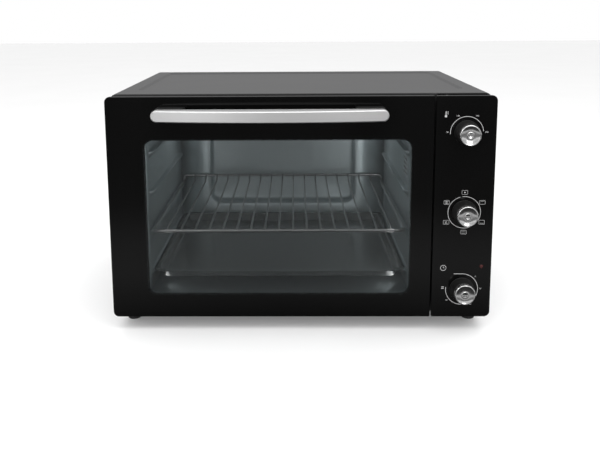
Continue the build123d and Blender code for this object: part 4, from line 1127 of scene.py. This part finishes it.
def timerDial(x, z):
    ring = dialLook["ring"] * mm
    path = [(x - 12 * mm, z + ring)] + arcPoints((x, z), ring, 90, -188, 72)
    flatStrip(path, dialLook["line"] * mm)
    for text, turn in (("15", 45), ("30", 2), ("45", -60), ("60", -142)):
        angle = math.radians(turn)
        reach = dialLook["minute"] * mm
        writeNumber(text, x + reach * math.cos(angle), z + reach * math.sin(angle), dialLook["minuteDigit"])
    for dz in (1.2, 3.4):
        flatStrip([(x - 29.5 * mm, z + dz * mm), (x - 25.8 * mm, z + dz * mm)], 0.9 * mm)
    clockX, clockZ = x - 27.4 * mm, z + 32.2 * mm
    arcLine(clockX, clockZ, 4.0 * mm, 0, 352, 0.6, 30)
    flatStrip([(clockX, clockZ), (clockX, clockZ + 2.2 * mm)], 0.6 * mm)
    flatStrip([(clockX, clockZ), (clockX + 1.4 * mm, clockZ)], 0.6 * mm)


temperatureDial(*knobPlaces["temperature"])
functionDial(*knobPlaces["function"])
timerDial(*knobPlaces["timer"])
points, faces = joinParts(dialParts)
makePiece("dial_print", "chassis", printLook, points=points, faces=faces, smooth=False)
print("dials printed")

# floor, world and lights
studio = {"floor": 0.95, "sky": 1.10, "glow": 0.10, "reach": 9, "gloss": 0.2}


def floorLook(place):
    cloud = place.noise(3.0, 2)
    low, high = grey(studio["floor"]), grey(studio["floor"] + 0.01)
    return {"Base Color": cloud.blend(low, high), "Roughness": 0.22 + cloud * 0.02}


def makeFloor():
    mesh = bpy.data.meshes.new("studioFloor")
    far = studio["reach"]
    mesh.from_pydata([(-far, -far, 0), (far, -far, 0), (far, far, 0), (-far, far, 0)], [], [(0, 1, 2, 3)])
    floor = bpy.data.objects.new("studioFloor", mesh)
    scene.collection.objects.link(floor)
    fixed = {
        "Specular IOR Level": studio["gloss"],
        "Emission Color": grey(1.0),
        "Emission Strength": studio["glow"],
    }
    dress(floor, makeMaterial("studioFloor", floorLook, **fixed))
    floor.visible_glossy = False


def makeWorld():
    world = bpy.data.worlds.new("studioWorld")
    scene.world = world
    world.use_nodes = True
    tree = world.node_tree
    tree.nodes.clear()
    start = Shade(tree, None)
    up = start.node("TexCoord", None, None, "Generated").axes()[2]
    # what shiny surfaces mirror, from straight down (0) over the horizon (0.5) to straight up (1)
    stops = [
        (0.0, grey(0.02)), (0.30, grey(0.04)), (0.333, grey(0.62)), (0.352, grey(0.50)), (0.374, grey(0.15)),
        (0.446, grey(0.12)), (0.474, grey(0.95)), (0.50, grey(0.60)), (0.53, grey(0.42)), (1.0, grey(1.2)),
    ]
    height = up * 0.5 + 0.5
    mirrored = height.node("ValToRGB", {"stops": stops}, {0: height})
    path = start.node("LightPath", None, None, "Is Glossy Ray")
    tint = path.blend(grey(studio["sky"]), mirrored)
    seen = start.node("LightPath", None, None, "Is Camera Ray")
    shown = seen.blend(tint, grey(1.0))
    background = start.node("Background", None, {"Color": shown, "Strength": 1.0})
    out = tree.nodes.new("ShaderNodeOutputWorld")
    tree.links.new(background.socket, out.inputs["Surface"])


lamps = {
    # name: place, where it looks, width, height, power, seen in reflections
    "keyAbove": ((0.3, -0.7, 2.2), (0, 0.0, 0.2), 2.4, 1.6, 16.0, True),
    "frontLeft": ((-1.15, -2.9, 0.95), (0, 0, 0.3), 0.7, 1.3, 14.0, True),
    "frontRight": ((1.0, -2.9, 0.9), (0, 0, 0.3), 0.6, 1.2, 6.0, True),
    "insideTop": ((-0.03, -0.04, 0.304), (-0.03, -0.035, 0.05), 0.30, 0.10, 0.04, True),
    "mouthLeft": ((-0.210, -0.135, 0.150), (0.16, 0.06, 0.18), 0.02, 0.19, 0.07, True),
    "mouthRight": ((0.146, -0.135, 0.150), (-0.224, 0.08, 0.18), 0.03, 0.19, 0.15, True),
    "insideRight": ((0.085, 0.10, 0.290), (0.155, 0.16, 0.20), 0.03, 0.03, 0.14, False),
    "insideLeft": ((-0.15, 0.06, 0.290), (-0.224, 0.12, 0.19), 0.03, 0.03, 0.09, False),
}


def makeLamps():
    for name, (place, target, width, height, power, mirrored) in lamps.items():
        data = bpy.data.lights.new(name, "AREA")
        data.shape, data.size, data.size_y, data.energy = "RECTANGLE", width, height, power
        lamp = bpy.data.objects.new(name, data)
        scene.collection.objects.link(lamp)
        aim = (Vector(target) - Vector(place)).to_track_quat("-Z", "Y")
        lamp.matrix_world = Matrix.Translation(place) @ aim.to_matrix().to_4x4()
        lamp.visible_glossy = mirrored
        lamp.visible_camera = False


makeFloor()
makeWorld()
makeLamps()
scene.view_settings.view_transform = "Standard"
scene.view_settings.look = "None"
print("studio made")
